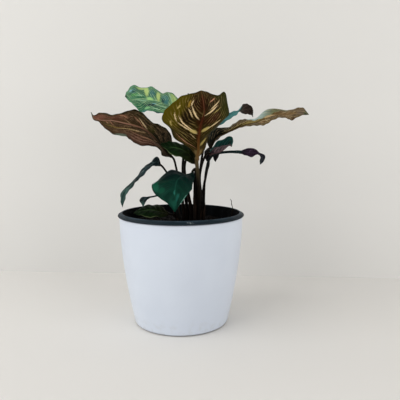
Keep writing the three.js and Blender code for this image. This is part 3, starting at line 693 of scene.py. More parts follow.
def leaf_face(name, ground, oval, vein, edge, spacing=VEIN_SPACING, lean=VEIN_LEAN, oval_share=0.5,
              vein_share=0.4, hair_share=0.2, gloss=0.08, marks=()):
    """One face of a blade. The ground runs from base to tip, with two sizes of dark oval in turn between
    the side veins, the veins and hair lines over it, a border along the margin, and at last the face's own
    marks. A mark is a soft streak or patch: its colour, its middle as (along, side), its reach each way,
    its slant and its strength. Side is -1 at the left margin and 1 at the right one."""
    face = Finish(name)
    uv = face.node("ShaderNodeUVMap", {"uv_map": "leaf"}, {})
    along = face.axis(uv, "X")
    side = face.axis(uv, "Y") * 2 - 1
    out = abs(side)
    stretched = face.node("ShaderNodeMapping", {}, {"Vector": uv, "Scale": (5, 2.5, 1)})
    wander = face.grain(stretched, 1.6) - 0.5
    patchy = face.grain(stretched, 5, 4)
    count = (along - out * lean) / spacing + side.maths("GREATER_THAN", side, 0) * 0.5 + wander * 0.35 + 10
    swing = abs(count.maths("FRACT", count) - 0.5) * 2
    long_oval = count.maths("FLOORED_MODULO", count.maths("FLOOR", count), 2)
    place = (out - (long_oval * 0.13 + 0.3)) / (long_oval * 0.17 + 0.2)
    plump = place.maths("SQRT", place.maths("MAXIMUM", 1 - place * place, 0))
    patch = (plump * 0.8 - swing).between(-0.1, 0.3)
    border = out + wander * 0.12
    line = swing.between(0.8, 0.99) * (1 - border.between(0.4, 0.9)) * patchy.between(0.35, 0.6)
    comb = count.maths("SINE", count * (HAIR_LINES * math.tau) + patchy * 5)
    middle_of_half = out.between(0.02, 0.2) * (1 - border.between(0.75, 0.97))
    hair = comb.between(0.1, 1) * middle_of_half * patchy.between(0.3, 0.7) * along.between(0, 0.3)
    furrow = (0 - comb).between(0.1, 1) * middle_of_half
    colour = face.ramp(along, ground)
    colour = face.mix(patchy.between(0.35, 0.75) * 0.25, colour, oval)
    colour = face.mix(patch * oval_share, colour, oval)
    colour = face.mix(line * vein_share, colour, vein)
    colour = face.mix((1 - out.between(0, 0.035)) * 0.45, colour, vein)
    colour = face.mix(border.between(0.84, 0.97) * 0.7, colour, edge)
    crisp = face.grain(stretched, 22, 3) - 0.5
    drift = along + wander * 0.03 + crisp * 0.008
    aside = side + crisp * 0.12
    colour = face.mix(furrow * hair_share, colour, oval)
    for paint, (middle, off), (reach, spread), slant, strength in marks:
        across = aside - off
        down = drift - middle - across * slant
        away = down * down / reach ** 2 + across * across / spread ** 2
        colour = face.mix((1 - away.between(0.1, 1)) * strength, colour, paint)
    colour = face.mix(hair * hair_share, colour, vein)
    relief = swing * 0.5 + hair * 0.3 + patchy * 0.2
    return face.done(colour, 0.46 + patchy * 0.2, gloss, relief, 0.12)


# How each leaf is coloured: the upper face, the underside and the rib under it, all as seen, 0 to 255.
HAIR_LINES = 5
CREAM = (232, 206, 158)
STRAW = (196, 176, 104)
GOLD = (170, 136, 50)
OLIVE_GOLD = (76, 67, 5)
OLIVE_GREEN = (44, 46, 10)
UMBER = (26, 17, 4)
RUSSET = (50, 22, 8)
ROSE = (198, 142, 112)
NIGHT = (10, 14, 8)
LIME = (170, 192, 116)
MINT = (142, 186, 150)
PINE = (30, 92, 62)
LAGOON = (58, 108, 106)
INK_TEAL = (12, 46, 52)
# Pale blue teal: a painted highlight on the dark teal patches of the back left leaf.
HIGHLIGHT_TEAL = (120, 168, 176)
ASH_GREEN = (104, 120, 102)
GREEN_FACE = dict(ground=[(60, 110, 80), (96, 150, 100)], oval=(14, 60, 48), oval_share=0.8,
    vein=(170, 200, 140), edge=(28, 84, 62), vein_share=0.6)
FURLED_FACE = dict(ground=[(14, 30, 30), (40, 26, 42), (42, 26, 46), (18, 32, 34), (24, 44, 42)],
    oval=(22, 12, 24), vein=(92, 72, 96), edge=(18, 12, 20), spacing=0.3, hair_share=0.35)
# The centre leaf's underside. Its gold, straw and cream patches and streaks are its pale pattern, painted
# bright and golden as it glows with light shining through the upright leaf: painted light.
OLIVE_MARKS = [
    (OLIVE_GOLD, (0.66, 0.84), (0.3, 0.4), 0.1, 0.9),
    (OLIVE_GOLD, (0.5, 0.72), (0.12, 0.3), 0.2, 0.6),
    (OLIVE_GREEN, (0.62, -0.86), (0.26, 0.34), 0, 0.9),
    (OLIVE_GREEN, (0.4, -0.5), (0.07, 0.4), -0.1, 0.7),
    (RUSSET, (0.84, 0), (0.13, 0.5), 0, 0.9),
    (UMBER, (0.61, 0.36), (0.1, 0.26), 0.24, 0.95),
    (UMBER, (0.83, 0.24), (0.09, 0.18), 0.3, 0.7),
    (UMBER, (0.4, 0.42), (0.07, 0.34), 0.22, 0.9),
    (UMBER, (0.79, -0.34), (0.09, 0.34), 0, 0.8),
    (RUSSET, (0.58, -0.34), (0.07, 0.34), -0.02, 0.95),
    (RUSSET, (0.6, 0), (0.08, 0.13), 0, 0.9),
    ((74, 34, 14), (0.42, 0), (0.2, 0.07), 0, 0.8),
    (GOLD, (0.79, 0.54), (0.05, 0.07), 0.4, 0.6),
    (STRAW, (0.71, 0.77), (0.035, 0.03), 0, 0.7),
    (CREAM, (0.7, 0.24), (0.018, 0.22), 0.42, 1),
    (CREAM, (0.81, 0.45), (0.05, 0.03), 0.3, 0.9),
    (CREAM, (0.69, 0.36), (0.012, 0.16), 0.35, 0.7),
    (CREAM, (0.53, 0.33), (0.013, 0.34), 0.33, 1),
    (CREAM, (0.49, 0.3), (0.011, 0.32), 0.24, 0.95),
    (CREAM, (0.6, 0.68), (0.014, 0.1), 0.5, 0.7),
    (STRAW, (0.46, 0.14), (0.03, 0.13), 0.1, 0.85),
    (CREAM, (0.39, 0.16), (0.008, 0.12), 0.4, 0.75),
    (ROSE, (0.29, 0.46), (0.009, 0.44), 0.22, 0.9),
    (STRAW, (0.36, 0.5), (0.006, 0.24), 0.22, 0.5),
    (STRAW, (0.42, 0.52), (0.006, 0.22), 0.22, 0.5),
    (STRAW, (0.51, 0.75), (0.04, 0.03), 0, 0.6),
    (CREAM, (0.675, -0.26), (0.013, 0.3), -0.03, 1),
    (CREAM, (0.705, -0.42), (0.01, 0.28), -0.02, 0.9),
    (STRAW, (0.64, -0.5), (0.008, 0.2), -0.02, 0.6),
    (ROSE, (0.805, -0.58), (0.01, 0.26), 0.02, 0.9),
    (STRAW, (0.47, -0.15), (0.035, 0.14), -0.1, 0.9),
    (CREAM, (0.49, -0.36), (0.01, 0.2), -0.15, 0.9),
    (CREAM, (0.515, -0.5), (0.008, 0.14), -0.1, 0.7),
    (STRAW, (0.27, -0.32), (0.035, 0.26), -0.1, 0.7),
    ((150, 128, 84), (0.1, 0), (0.1, 0.6), 0, 0.7),
]
MAROON_MARKS = [
    ((116, 72, 60), (0.84, -0.3), (0.12, 0.4), 0, 0.9),
    ((100, 60, 48), (0.66, -0.3), (0.14, 0.3), 0, 0.7),
    ((64, 56, 26), (0.72, 0.5), (0.1, 0.3), 0, 0.7),
    ((26, 25, 8), (0.56, -0.95), (0.36, 0.42), 0, 0.9),
    ((32, 30, 10), (0.42, -0.66), (0.16, 0.36), 0, 0.9),
    ((94, 66, 56), (0.4, 0.75), (0.24, 0.3), 0, 0.8),
    ((52, 52, 12), (0.32, -0.25), (0.05, 0.3), 0, 0.6),
    # Near black at the base: painted shade where the centre leaf shadows the left leaf.
    (NIGHT, (0.1, -0.3), (0.2, 0.9), 0, 0.9),
    ((46, 58, 48), (1, 0), (0.09, 1.5), 0, 1),
    (ASH_GREEN, (0.57, 0.95), (0.07, 0.16), 0, 0.8),
    (CREAM, (0.41, -0.24), (0.011, 0.24), -0.28, 0.95),
    (CREAM, (0.385, -0.2), (0.007, 0.2), -0.28, 0.8),
    (ROSE, (0.44, -0.2), (0.008, 0.24), -0.28, 0.8),
    (ROSE, (0.47, -0.3), (0.007, 0.22), -0.28, 0.6),
    (ROSE, (0.6, -0.4), (0.01, 0.16), -0.3, 0.8),
    (ROSE, (0.64, -0.48), (0.009, 0.14), -0.3, 0.7),
    (ROSE, (0.74, 0.22), (0.01, 0.24), -0.2, 0.8),
    (ROSE, (0.68, 0.26), (0.009, 0.2), -0.2, 0.6),
    (ROSE, (0.8, 0.1), (0.012, 0.3), -0.2, 0.6),
    # The golden band right of the midrib is the pale pattern with a painted sheen on it.
    (CREAM, (0.49, 0.37), (0.016, 0.18), 0.85, 1),
    ((214, 180, 116), (0.53, 0.38), (0.01, 0.17), 0.85, 0.9),
    ((214, 170, 104), (0.455, 0.36), (0.009, 0.16), 0.85, 0.8),
    ((170, 140, 70), (0.58, 0.42), (0.012, 0.16), 0.85, 0.8),
    ((130, 110, 44), (0.64, 0.5), (0.014, 0.16), 0.85, 0.8),
    ((160, 116, 92), (0.36, 0.5), (0.18, 0.04), 0.2, 0.8),
    ((156, 112, 96), (0.34, 0.66), (0.16, 0.03), 0.2, 0.8),
    ((150, 110, 96), (0.38, 0.8), (0.16, 0.03), 0.2, 0.8),
    ((58, 34, 26), (0.36, 0.58), (0.16, 0.03), 0.2, 0.8),
    ((58, 34, 26), (0.4, 0.73), (0.16, 0.03), 0.2, 0.8),
]
PALE_MARKS = [
    (PINE, (0.66, -0.72), (0.14, 0.4), 0, 0.8),
    (LAGOON, (0.79, 0.5), (0.07, 0.24), 0.1, 0.9),
    (INK_TEAL, (0.77, 0.42), (0.05, 0.08), 0.2, 0.7),
    # Painted highlight on the dark teal patch.
    (HIGHLIGHT_TEAL, (0.82, 0.58), (0.03, 0.1), 0.2, 0.9),
    ((78, 146, 82), (0.78, 0.2), (0.08, 0.1), 0, 0.8),
    (LIME, (0.66, 0.76), (0.08, 0.2), -0.1, 0.8),
    (LIME, (0.61, 0.5), (0.035, 0.5), 0, 1),
    (LAGOON, (0.535, 0.36), (0.045, 0.34), 0, 0.95),
    (LIME, (0.46, 0.36), (0.03, 0.5), 0.02, 1),
    (LAGOON, (0.36, 0.24), (0.07, 0.42), 0.05, 0.95),
    (INK_TEAL, (0.39, 0.1), (0.03, 0.16), 0, 0.7),
    (MINT, (0.3, 0.5), (0.014, 0.5), 0.1, 0.8),
    (LIME, (0.22, 0.3), (0.07, 0.7), 0.1, 0.8),
    (PINE, (0.25, 0.4), (0.006, 0.4), 0.1, 0.7),
    (PINE, (0.3, 0.95), (0.06, 0.12), 0, 1),
    (PINE, (0.7, 0.07), (0.09, 0.05), 0, 0.9),
    (MINT, (0.7, -0.14), (0.12, 0.06), 0, 0.9),
    ((160, 204, 132), (0.57, 0.02), (0.06, 0.1), 0, 0.95),
    (MINT, (0.71, 0.16), (0.06, 0.04), 0.5, 0.8),
    (INK_TEAL, (0.52, -0.5), (0.12, 0.14), -0.3, 1),
    # Painted highlight on the dark teal patch.
    (HIGHLIGHT_TEAL, (0.49, -0.36), (0.04, 0.06), -0.3, 0.7),
    (INK_TEAL, (0.63, -0.44), (0.04, 0.08), 0, 0.6),
    (MINT, (0.38, -0.42), (0.12, 0.06), -0.4, 0.8),
    (MINT, (0.46, -0.74), (0.07, 0.05), -0.2, 0.95),
    (PINE, (0.44, -0.82), (0.08, 0.03), -0.2, 0.9),
    ((120, 184, 122), (0.57, -0.76), (0.05, 0.12), 0, 0.8),
    (LAGOON, (0.6, -0.94), (0.05, 0.1), 0, 0.8),
    ((50, 72, 70), (0.42, -0.96), (0.07, 0.08), 0, 0.9),
    ((40, 62, 54), (0.99, 0), (0.07, 1), 0, 1),
]
GOLD_MARKS = [
    # Near black at the base: painted shade over the part of the leaf that lies in shadow.
    (NIGHT, (0.12, 0.2), (0.14, 1.2), 0, 1),
    ((40, 62, 58), (0.14, 0.6), (0.1, 0.1), 0, 0.4),
    ((70, 54, 22), (0.35, 0.1), (0.08, 0.9), 0, 0.8),
    (STRAW, (0.36, 0.16), (0.1, 0.1), 2, 0.7),
    (STRAW, (0.46, 0.06), (0.1, 0.12), 1, 0.7),
    (CREAM, (0.45, 0.3), (0.05, 0.05), 1, 0.6),
    ((122, 96, 30), (0.6, 0.2), (0.08, 0.3), 0, 0.8),
    ((130, 96, 56), (0.53, -0.5), (0.05, 0.16), 0, 0.8),
    (CREAM, (0.52, -0.3), (0.08, 0.06), -1, 0.8),
    (CREAM, (0.64, 0.02), (0.06, 0.08), -1, 0.8),
    # Pale blue and near white by the right margin: a painted highlight.
    ((150, 176, 166), (0.57, 0.84), (0.05, 0.2), 0, 1),
    ((88, 94, 60), (0.68, 0.86), (0.06, 0.24), 0, 0.95),
    ((204, 214, 206), (0.56, 0.88), (0.035, 0.12), 0, 0.9),
    ((136, 110, 74), (0.78, 0), (0.1, 0.8), 0, 0.7),
    (CREAM, (0.76, -0.3), (0.08, 0.06), -1, 0.6),
    ((74, 54, 40), (0.84, -0.84), (0.07, 0.2), 0, 0.9),
    ((112, 98, 84), (0.92, 0.2), (0.05, 0.6), 0, 0.8),
    ((36, 62, 44), (0.98, 0.2), (0.04, 1), 0, 1),
]
EMERALD_MARKS = [
    # Dark navy over the fold near the base: painted shade.
    ((4, 14, 20), (0.36, 0.55), (0.2, 0.5), 0.05, 0.9),
    ((30, 34, 36), (0.3, -0.5), (0.06, 0.3), 0, 0.7),
    # A near white spot by the margin: a painted highlight.
    ((196, 216, 210), (0.57, 0.95), (0.03, 0.05), 0, 0.9),
    # A short pale fleck on the midline: a painted highlight.
    ((44, 116, 102), (0.7, 0.02), (0.06, 0.03), 0, 0.6),
    ((30, 96, 84), (0.78, -0.2), (0.09, 0.2), 0.2, 0.6),
    ((14, 88, 64), (0.62, 0.8), (0.1, 0.2), 0, 0.6),
    ((24, 84, 68), (0.9, 0.1), (0.08, 0.5), 0, 0.6),
    ((104, 158, 140), (0.8, -0.95), (0.14, 0.08), 0, 0.9),
    ((1, 40, 28), (0.56, 0.5), (0.05, 0.3), 0.1, 0.8),
    ((2, 66, 46), (0.68, 0.55), (0.05, 0.24), 0.1, 0.8),
    ((1, 42, 30), (0.64, -0.5), (0.05, 0.3), -0.1, 0.7),
]
LOOKS = {
    "olive": {
        "upper": dict(GREEN_FACE, spacing=0.2, lean=0.3),
        # The golden ground and marks of this underside are partly painted light shining through the leaf.
        "under": dict(ground=[(72, 57, 30), (50, 40, 10), (46, 37, 8), (44, 29, 8), (42, 26, 7)],
            oval=(28, 19, 5), vein=(190, 160, 100), edge=(32, 36, 8), spacing=0.2, lean=0.3, oval_share=0.3,
            vein_share=0.15, hair_share=0.3, gloss=0.03, marks=OLIVE_MARKS),
        "rib": [(112, 90, 56), (98, 66, 28), (78, 36, 10), (72, 30, 14), (112, 70, 44)],
    },
    "maroon": {
        "upper": GREEN_FACE,
        # The ground and the rib start near black at the base: painted shade where the centre leaf shadows
        # this leaf.
        "under": dict(ground=[(8, 12, 4), (24, 24, 8), (64, 48, 28), (78, 56, 38), (92, 64, 50)],
            oval=(34, 22, 12), vein=(208, 170, 130), edge=(36, 34, 20), spacing=0.17, lean=0.5,
            oval_share=0.35, vein_share=0.35, hair_share=0.5, gloss=0.05, marks=MAROON_MARKS),
        "rib": [(12, 14, 6), (50, 34, 20), (150, 104, 84), (176, 132, 112), (110, 80, 64)],
    },
    "pale": {
        "upper": dict(ground=[(124, 152, 92), (84, 132, 96), (86, 138, 104)], oval=(18, 66, 52),
            vein=(184, 208, 156), edge=(66, 120, 90), spacing=0.19, lean=0.22, oval_share=0.45,
            vein_share=0.5, hair_share=0.52, marks=PALE_MARKS),
        "under": dict(ground=[(98, 60, 48), (112, 70, 56)], oval=(50, 28, 26), vein=(190, 150, 126),
            edge=(66, 62, 40)),
        "rib": [(110, 96, 60), (150, 120, 84)],
    },
    "gold": {
        "upper": dict(ground=[(90, 130, 110), (90, 130, 110), (110, 146, 130), (132, 166, 158),
            (150, 176, 166), (92, 98, 66), (88, 80, 48), (104, 92, 64), (104, 92, 68)], oval=(60, 66, 40),
            vein=(206, 196, 150), edge=(110, 116, 84), spacing=0.24, hair_share=0.5,
            # A broad pale blue-grey band across the middle: a painted sheen.
            marks=[((178, 200, 198), (0.5, 0), (0.2, 1.6), 0, 0.6)]),
        # The ground and the rib start near black at the base: painted shade.
        "under": dict(ground=[(8, 8, 6), (22, 18, 10), (104, 88, 46), (126, 100, 58), (116, 98, 70)],
            oval=(48, 34, 14), vein=CREAM, edge=(76, 64, 34), spacing=0.24, lean=0.2, hair_share=0.8,
            gloss=0.06, marks=GOLD_MARKS),
        "rib": [(10, 8, 6), (110, 90, 56), (160, 132, 96)],
    },
    "teal": {
        "upper": dict(ground=[(28, 78, 78), (64, 124, 122), (40, 80, 80)], oval=(24, 66, 70),
            vein=(90, 140, 136), edge=(30, 72, 72), marks=[((58, 46, 42), (0.84, 0), (0.2, 1.3), 0, 1),
            ((88, 72, 62), (0.76, 0.1), (0.04, 0.4), 0, 0.6)]),
        "under": dict(ground=[(28, 70, 70), (60, 112, 110), (64, 50, 44), (44, 34, 32)], oval=(34, 28, 26),
            vein=(110, 96, 86), edge=(36, 32, 30)),
        "rib": [(40, 56, 52), (80, 62, 52)],
    },
    "deep": {
        "upper": dict(ground=[(14, 44, 34), (20, 56, 44)], oval=(8, 30, 26), vein=(60, 96, 74),
            edge=(10, 36, 30)),
        "under": dict(ground=[(46, 24, 30), (58, 32, 36)], oval=(26, 14, 20), vein=(104, 76, 74),
            edge=(34, 24, 24)),
        "rib": [(50, 36, 26), (84, 62, 50)],
    },
    "violet": {
        "upper": dict(ground=[(20, 60, 56), (26, 76, 70)], oval=(10, 40, 40), vein=(70, 116, 106),
            edge=(14, 48, 46), marks=[(NIGHT, (0.8, 0), (0.1, 1), 0, 0.7)]),
        "under": dict(ground=[(96, 78, 84), (92, 74, 80)], oval=(34, 26, 32), vein=(172, 152, 152),
            edge=(44, 36, 42), vein_share=0.7, hair_share=0.5,
            marks=[((20, 58, 52), (0.62, -0.5), (0.22, 0.5), 0, 1),
            (NIGHT, (0.78, -0.5), (0.08, 0.6), 0, 0.9), ((26, 20, 28), (0.12, 0.3), (0.14, 0.9), 0, 0.9),
            ((160, 140, 140), (0.32, 0.5), (0.02, 0.4), 0.2, 0.8)]),
        "rib": [(60, 44, 46), (110, 86, 88)],
    },
    "furled": {
        "upper": FURLED_FACE,
        "under": FURLED_FACE,
        "rib": [(20, 32, 34), (50, 34, 52)],
    },
    "shade": {
        # Near black all over: painted shade, for the two small leaves that hang in the shade behind the
        # others.
        "upper": dict(ground=[(4, 7, 7), (7, 12, 11)], oval=(2, 5, 5), vein=(20, 28, 25), edge=(5, 8, 8)),
        "under": dict(ground=[(7, 6, 9), (12, 9, 14)], oval=(4, 3, 6), vein=(36, 30, 36), edge=(6, 5, 7)),
        "rib": [(12, 10, 12), (20, 16, 19)],
    },
    "moss": {
        # The leaf's own dark green, darkened further as painted shade: one leaf lies in the shadow under
        # the centre leaf, the other low in the pot.
        "upper": dict(ground=[(30, 22, 10), (24, 30, 10), (12, 34, 10), (10, 30, 10), (14, 28, 12)],
            oval=(4, 14, 4), vein=(56, 76, 42), edge=(18, 34, 12), vein_share=0.3, gloss=0.03,
            marks=[((64, 90, 52), (0.5, 0.02), (0.2, 0.05), 0, 0.6),
            ((90, 102, 68), (0.6, -0.97), (0.3, 0.08), 0, 0.8)]),
        "under": dict(ground=[(48, 26, 28), (58, 34, 34)], oval=(26, 14, 18), vein=(100, 76, 70),
            edge=(34, 24, 22)),
        "rib": [(50, 44, 26), (76, 70, 46)],
    },
    "emerald": {
        # The ground starts near black at the base, where the blade is steep: painted shade.
        "upper": dict(ground=[(3, 10, 14), (3, 22, 24), (3, 48, 36), (6, 56, 43)], oval=(1, 30, 22),
            vein=(26, 76, 62), edge=(6, 46, 38), oval_share=0.5, vein_share=0.2, hair_share=0.26,
            gloss=0.06, marks=EMERALD_MARKS),
        "under": dict(ground=[(58, 28, 40), (70, 36, 46)], oval=(34, 18, 26), vein=(124, 92, 92),
            edge=(40, 40, 38)),
        "rib": [(60, 40, 36), (100, 76, 66)],
    },
    "slate": {
        "upper": dict(ground=[(2, 8, 10), (10, 26, 30), (26, 44, 48), (8, 10, 12), (56, 88, 80),
            (30, 52, 48)], oval=(8, 18, 20), vein=(104, 132, 132), edge=(14, 28, 28),
            marks=[((104, 128, 132), (0.4, -0.2), (0.1, 0.08), 0, 0.8)]),
        "under": dict(ground=[(6, 8, 10), (16, 26, 30), (34, 48, 52), (12, 10, 14), (60, 90, 82),
            (34, 52, 50)], oval=(12, 16, 18), vein=(96, 116, 116), edge=(20, 24, 26)),
        "rib": [(28, 22, 24), (56, 46, 50)],
    },
}
# The stalks' own colour, near black low down and dark far up: painted shade under the leaves.
STALKS = {
    "light": [(8, 5, 3), (8, 5, 3), (9, 6, 4), (9, 6, 4), (12, 9, 6), (24, 19, 12), (60, 52, 34),
        (92, 80, 54), (112, 94, 62)],
    "dark": [(8, 5, 4), (7, 5, 4), (9, 7, 5), (20, 17, 10)],
    "teal": [(8, 6, 5), (8, 7, 6), (9, 9, 8), (14, 26, 26), (18, 36, 36), (22, 42, 42)],
}


def stalk_skin(name, colours):
    """Smooth skin with fine ribs along the stalk and small pale flecks."""
    skin = Finish(name)
    uv = skin.node("ShaderNodeUVMap", {"uv_map": "leaf"}, {})
    drawn_out = skin.node("ShaderNodeMapping", {}, {"Vector": uv, "Scale": (14, 2, 1)})
    ribs = skin.grain(drawn_out, 3, 3)
    flecks = skin.grain(skin.place(), 900, 2).between(0.62, 0.75)
    colour = skin.ramp(skin.axis(uv, "Y"), colours)
    colour = skin.mix(ribs.between(0.5, 0.8) * 0.12, colour, (84, 62, 44))
    colour = skin.mix(flecks * 0.08, colour, (140, 118, 92))
    return skin.done(colour, 0.5 + ribs * 0.2, 0.06, ribs, 0.15)


faces = {}
for look, parts in LOOKS.items():
    for part in ("upper", "under"):
        faces[look, part] = leaf_face(f"leaf_{look}_{part}", **parts[part])
    faces[look, "rib"] = stalk_skin(f"rib_{look}", parts["rib"])
skins = {look: stalk_skin(f"stalk_{look}", colours) for look, colours in STALKS.items()}
sheath_skin = stalk_skin("dry_sheath", [(9, 6, 4), (18, 11, 7), (34, 23, 15)])

ROWS_PER_MM = 1.1
COLUMNS_PER_MM = 0.8
WIDEST_COUNTED = 60
MARGIN_CROWDING = 0.85
WELD = 0.01
RIB_RADII = (0.95, 0.75, 0.5, 0.3, 0.12)
RIB_STALK = 1.1
RIB_SUNK = 0.1
RIB_STEPS = 60
RIB_SIDES = 10
RIB_END = 0.96


def rows_between(rows, places):
    """Values blended between the rows at each place."""
    numbers = np.arange(len(rows))
    return np.stack([np.interp(places, numbers, rows[:, axis]) for axis in range(3)], axis=1)


def add_rib(bm, middle, below, stalk_radius):
    """The round rib that hangs half sunk under the midrib and thins out towards the tip."""
    shares = np.linspace(0, RIB_END, RIB_STEPS)
    radii = along_leaf(RIB_RADII, shares) * stalk_radius / RIB_STALK
    places = shares * (len(middle) - 1)
    hang = np.maximum(radii - RIB_SUNK, 0)
    hang[[0, -1]] = 0
    centres = rows_between(middle, places) + rows_between(below, places) * hang[:, None]
    tube(bm, centres, radii, RIB_SIDES, 2)


def add_skin(bm, skin, finish):
    """One face of a blade: a sheet with a corner at each row and column of the skin."""
    rows, columns = (int(count) - 1 for count in skin.shape[:2])

    def place(aside, rise):
        return skin[round((aside + 1) / 2 * rows), round(rise * columns)]

    sheet(bm, rows, columns, finish, place)


def make_blade(leaf):
    """Two faces that part in the middle and meet at the margin, with a rib under them."""
    under = LOOKS[leaf["look"]]["under"]
    spacing, lean = under.get("spacing", VEIN_SPACING), under.get("lean", VEIN_LEAN)
    length = length_of(smooth_curve(leaf["midrib"], np.linspace(0, 1, 50)))
    breadth = max(np.linalg.norm(np.array(a) - b) for a in leaf["left"] for b in leaf["right"])
    rows = int(30 + ROWS_PER_MM * length)
    columns = 2 * int(8 + COLUMNS_PER_MM * min(breadth, WIDEST_COUNTED) / 2)
    across = np.linspace(-1, 1, columns + 1)
    across = np.sign(across) * np.abs(across) ** MARGIN_CROWDING
    surface = blade_surface(leaf, np.linspace(0, 1, rows + 1), across, spacing, lean)
    normal = unit(np.cross(np.gradient(surface, axis=1), np.gradient(surface, axis=0)) + 1e-9)
    thickness = EDGE_THICKNESS + (MIDDLE_THICKNESS - EDGE_THICKNESS) * (1 - np.abs(across) ** 3)
    thickness[[0, -1]] = 0
    bm = bmesh.new()
    bm.loops.layers.uv.new("leaf")
    half = normal * thickness[None, :, None] / 2
    for finish, skin in enumerate((surface + half, surface - half)):
        add_skin(bm, skin, finish)
    bmesh.ops.remove_doubles(bm, verts=bm.verts, dist=WELD * MM)
    add_rib(bm, surface[:, columns // 2], -normal[:, columns // 2], leaf["radii"][1])
    bmesh.ops.recalc_face_normals(bm, faces=bm.faces)
    return bm


ROOT_DEPTH = 84
SOIL_SETTLED = 95
STALK_CLEAR = 106
STALK_LEAD = 4
STALK_OVERLAP = 3
STALK_STEPS = 70
STALK_SIDES = 14
STALK_THINS = (0.35, 0.85)
JOINT_PLACE = 0.93
JOINT_REACH = 0.04
JOINT_SWELL = 0.18
SHEATH_FOOT = SOIL_LEVEL - 3
SHEATH_WRAP = math.radians(150)
SHEATH_WALL = 0.25
SHEATH_FIT = 0.55
SHEATH_FLARE = 2.5
SHEATH_HEIGHTS = (14, 36)
SHEATH_SIDES = 18
SHEATH_STEPS = 24
sheath_draw = random.Random(5)


def stalk_line(leaf):
    x, y = leaf["root"]
    joint = np.array(leaf["midrib"][0], float)
    along = tangents(leaf["midrib"], np.zeros(1))[0]
    foot = [(x, y, height) for height in (ROOT_DEPTH, SOIL_SETTLED, STALK_CLEAR)]
    return [*foot, *leaf["path"], joint - along * STALK_LEAD, joint + along * STALK_OVERLAP]


def wrap_sheath(bm, centres, radii):
    """The old sheath round a stalk's foot: thin, open down one side, and torn to a point at the top."""
    highest = np.searchsorted(centres[:, 2], SHEATH_FOOT) + STALK_STEPS // 2
    reach = sheath_draw.uniform(*SHEATH_HEIGHTS)
    turned_by = sheath_draw.uniform(0, math.tau)
    rims = rims_along(centres)

    def place(aside, rise):
        ragged = 0.06 * math.sin(aside * 19 + turned_by) + 0.04 * math.sin(aside * 43)
        height = SHEATH_FOOT + reach * rise * (1 - 0.5 * abs(aside) ** 1.6 + ragged)
        step = min(np.searchsorted(centres[:, 2], height), highest)
        loose = SHEATH_FIT * (1 - 0.5 * rise) + SHEATH_FLARE * max(0, rise - 0.8) * abs(aside)
        middle = centres[step] + (height - centres[step][2]) * np.array((0, 0, 1))
        return middle + outward(rims[step], turned_by + SHEATH_WRAP * aside) * (radii[step] + loose)

    _, wall = sheet(bm, SHEATH_SIDES, SHEATH_STEPS, 1, place)
    bmesh.ops.solidify(bm, geom=wall, thickness=SHEATH_WALL * MM)


def make_stalk(leaf):
    """A round stalk with a swollen joint under the blade and a torn sheath wrapped round its foot."""
    shares = np.linspace(0, 1, STALK_STEPS + 1)
    centres = smooth_curve(stalk_line(leaf), shares)
    low, high = leaf["radii"]
    start, end = STALK_THINS
    fade = np.clip((shares - start) / (end - start), 0, 1)
    radii = low + (high - low) * fade * fade * (3 - 2 * fade)
    joint = JOINT_SWELL * np.exp(-(((shares - JOINT_PLACE) / JOINT_REACH) ** 2))
    radii *= 1 + joint + 0.02 * np.sin(shares * 47)
    bm = bmesh.new()
    bm.loops.layers.uv.new("leaf")
    tube(bm, centres, radii, STALK_SIDES)
    bmesh.ops.recalc_face_normals(bm, faces=bm.faces)
    wrap_sheath(bm, centres, radii)
    return bm


for name, leaf in LEAVES.items():
    blade, stalk = f"blade_{name}", f"stalk_{name}"
    leaf_finishes = [faces[leaf["look"], part] for part in ("upper", "under", "rib")]
    stalk_finishes = [skins[leaf.get("stalk", "dark")], sheath_skin]
    show(f"leaf_{name}", make_blade(leaf), leaf_finishes, blade)
    show(f"stem_{name}", make_stalk(leaf), stalk_finishes, stalk)

# Dry sprig. A thin leftover stalk that stands by itself near the right wall, its tip bent over.
SPRIG_ROOT = (52.3, 10)
SPRIG_PATH = [(53.6, 10, 109), (54.9, 10, 116), (53.8, 10, 121), (53.4, 10, 124.8), (52.2, 10, 126.8)]
SPRIG_RADIUS = 0.5
SPRIG_STEPS = 50
SPRIG_SIDES = 10

sprig_line = [(*SPRIG_ROOT, SOIL_SETTLED), (*SPRIG_ROOT, SOIL_LEVEL), *SPRIG_PATH]
shares = np.linspace(0, 1, SPRIG_STEPS)
sprig_radii = SPRIG_RADIUS * (1 - 0.35 * shares) * (1 + 0.12 * np.sin(shares * 40))
sprig = bmesh.new()
sprig.loops.layers.uv.new("leaf")
tube(sprig, smooth_curve(sprig_line, shares), sprig_radii, SPRIG_SIDES)
bmesh.ops.recalc_face_normals(sprig, faces=sprig.faces)
dry = stalk_skin("dry_stalk", [(14, 11, 8), (30, 25, 18), (46, 42, 32)])
show("sprig", sprig, [dry], "dry_sprig")

# The set. A plain pale floor with a plain pale wall behind it, soft light from the front left and a
# weaker one from the front right, and the camera at the height and distance of the view.
CAMERA_PLACE = (0, -464.8, 182.2)
CAMERA_DOWN = math.radians(6.75)
CAMERA_ASIDE = math.radians(2.413)
FOCAL_PIXELS = 451
FRAME_PIXELS = 400
SENSOR_WIDTH = 36
ROOM = 3600
WALL_HEIGHT = 3000
WALL_PLACE = 167
WALL_TURN = -6.3
LIT_MIDDLE = Vector((0, 0, 120))


def aimed(name, data, place, heading):
    """Puts a camera or a lamp at a place in mm, looking along the heading."""
    thing = placed(name, data)
    thing.location = place * MM
    thing.rotation_euler = heading.to_track_quat("-Z", "Y").to_euler()
    return thing


level = math.cos(CAMERA_DOWN)
heading = Vector((math.sin(CAMERA_ASIDE) * level, math.cos(CAMERA_ASIDE) * level, -math.sin(CAMERA_DOWN)))
camera = bpy.data.cameras.new("camera")
camera.lens = SENSOR_WIDTH * FOCAL_PIXELS / FRAME_PIXELS
camera.sensor_width = SENSOR_WIDTH
bpy.context.scene.camera = aimed("camera", camera, Vector(CAMERA_PLACE), heading)


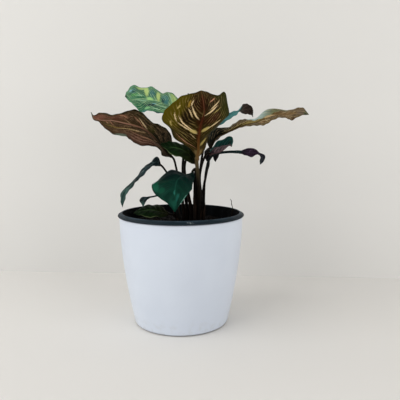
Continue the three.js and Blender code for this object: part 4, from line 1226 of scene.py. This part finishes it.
def plain_stage(name, colour, place, size, turn):
    """A flat plain sheet that is seen only from its front, so that no view is blocked from behind."""
    paint = Finish(name)
    nodes, links = paint.nodes, paint.links
    paint.done(colour, 0.75, 0.2)
    behind = paint.node("ShaderNodeNewGeometry", {}, {}, "Backfacing")
    clear = nodes.new("ShaderNodeBsdfTransparent")
    either = nodes.new("ShaderNodeMixShader")
    paint.plug(either.inputs["Fac"], behind)
    links.new(paint.shader.outputs["BSDF"], either.inputs[1])
    links.new(clear.outputs["BSDF"], either.inputs[2])
    links.new(either.outputs["Shader"], nodes["Material Output"].inputs["Surface"])
    bm = bmesh.new()
    corners = bmesh.ops.create_grid(bm, x_segments=1, y_segments=1, size=MM / 2)["verts"]
    bmesh.ops.scale(bm, verts=corners, vec=(*size, 1))
    bmesh.ops.rotate(bm, verts=corners, cent=(0, 0, 0), matrix=Euler(turn).to_matrix())
    bmesh.ops.translate(bm, verts=corners, vec=Vector(place) * MM)
    stage = placed_mesh(name, bm)
    stage.data.materials.append(paint.material)


plain_stage("floor", (229, 227, 223), (0, 0, 0), (ROOM, ROOM), (0, 0, 0))
wall_turn = (math.radians(90), 0, math.radians(WALL_TURN))
plain_stage("wall", (223, 222, 219), (0, WALL_PLACE, WALL_HEIGHT / 2), (ROOM, WALL_HEIGHT), wall_turn)


def soft_light(name, place, size, power, colour):
    """A square softbox at a place in mm, turned towards the plant."""
    lamp = bpy.data.lights.new(name, "AREA")
    lamp.size = size * MM
    lamp.energy = power
    lamp.color = colour
    aimed(name, lamp, Vector(place), LIT_MIDDLE - Vector(place))


soft_light("key", (-1200, -650, 900), 1500, 15.6, (1, 0.99, 0.97))
soft_light("fill", (900, -800, 500), 900, 4.9, (1, 0.98, 0.95))
world = bpy.data.worlds.new("room")
world.use_nodes = True
room_light = world.node_tree.nodes["Background"].inputs
room_light["Color"].default_value = (0.92, 0.92, 0.93, 1)
room_light["Strength"].default_value = 0.5
bpy.context.scene.world = world
bpy.context.scene.view_settings.view_transform = "Standard"
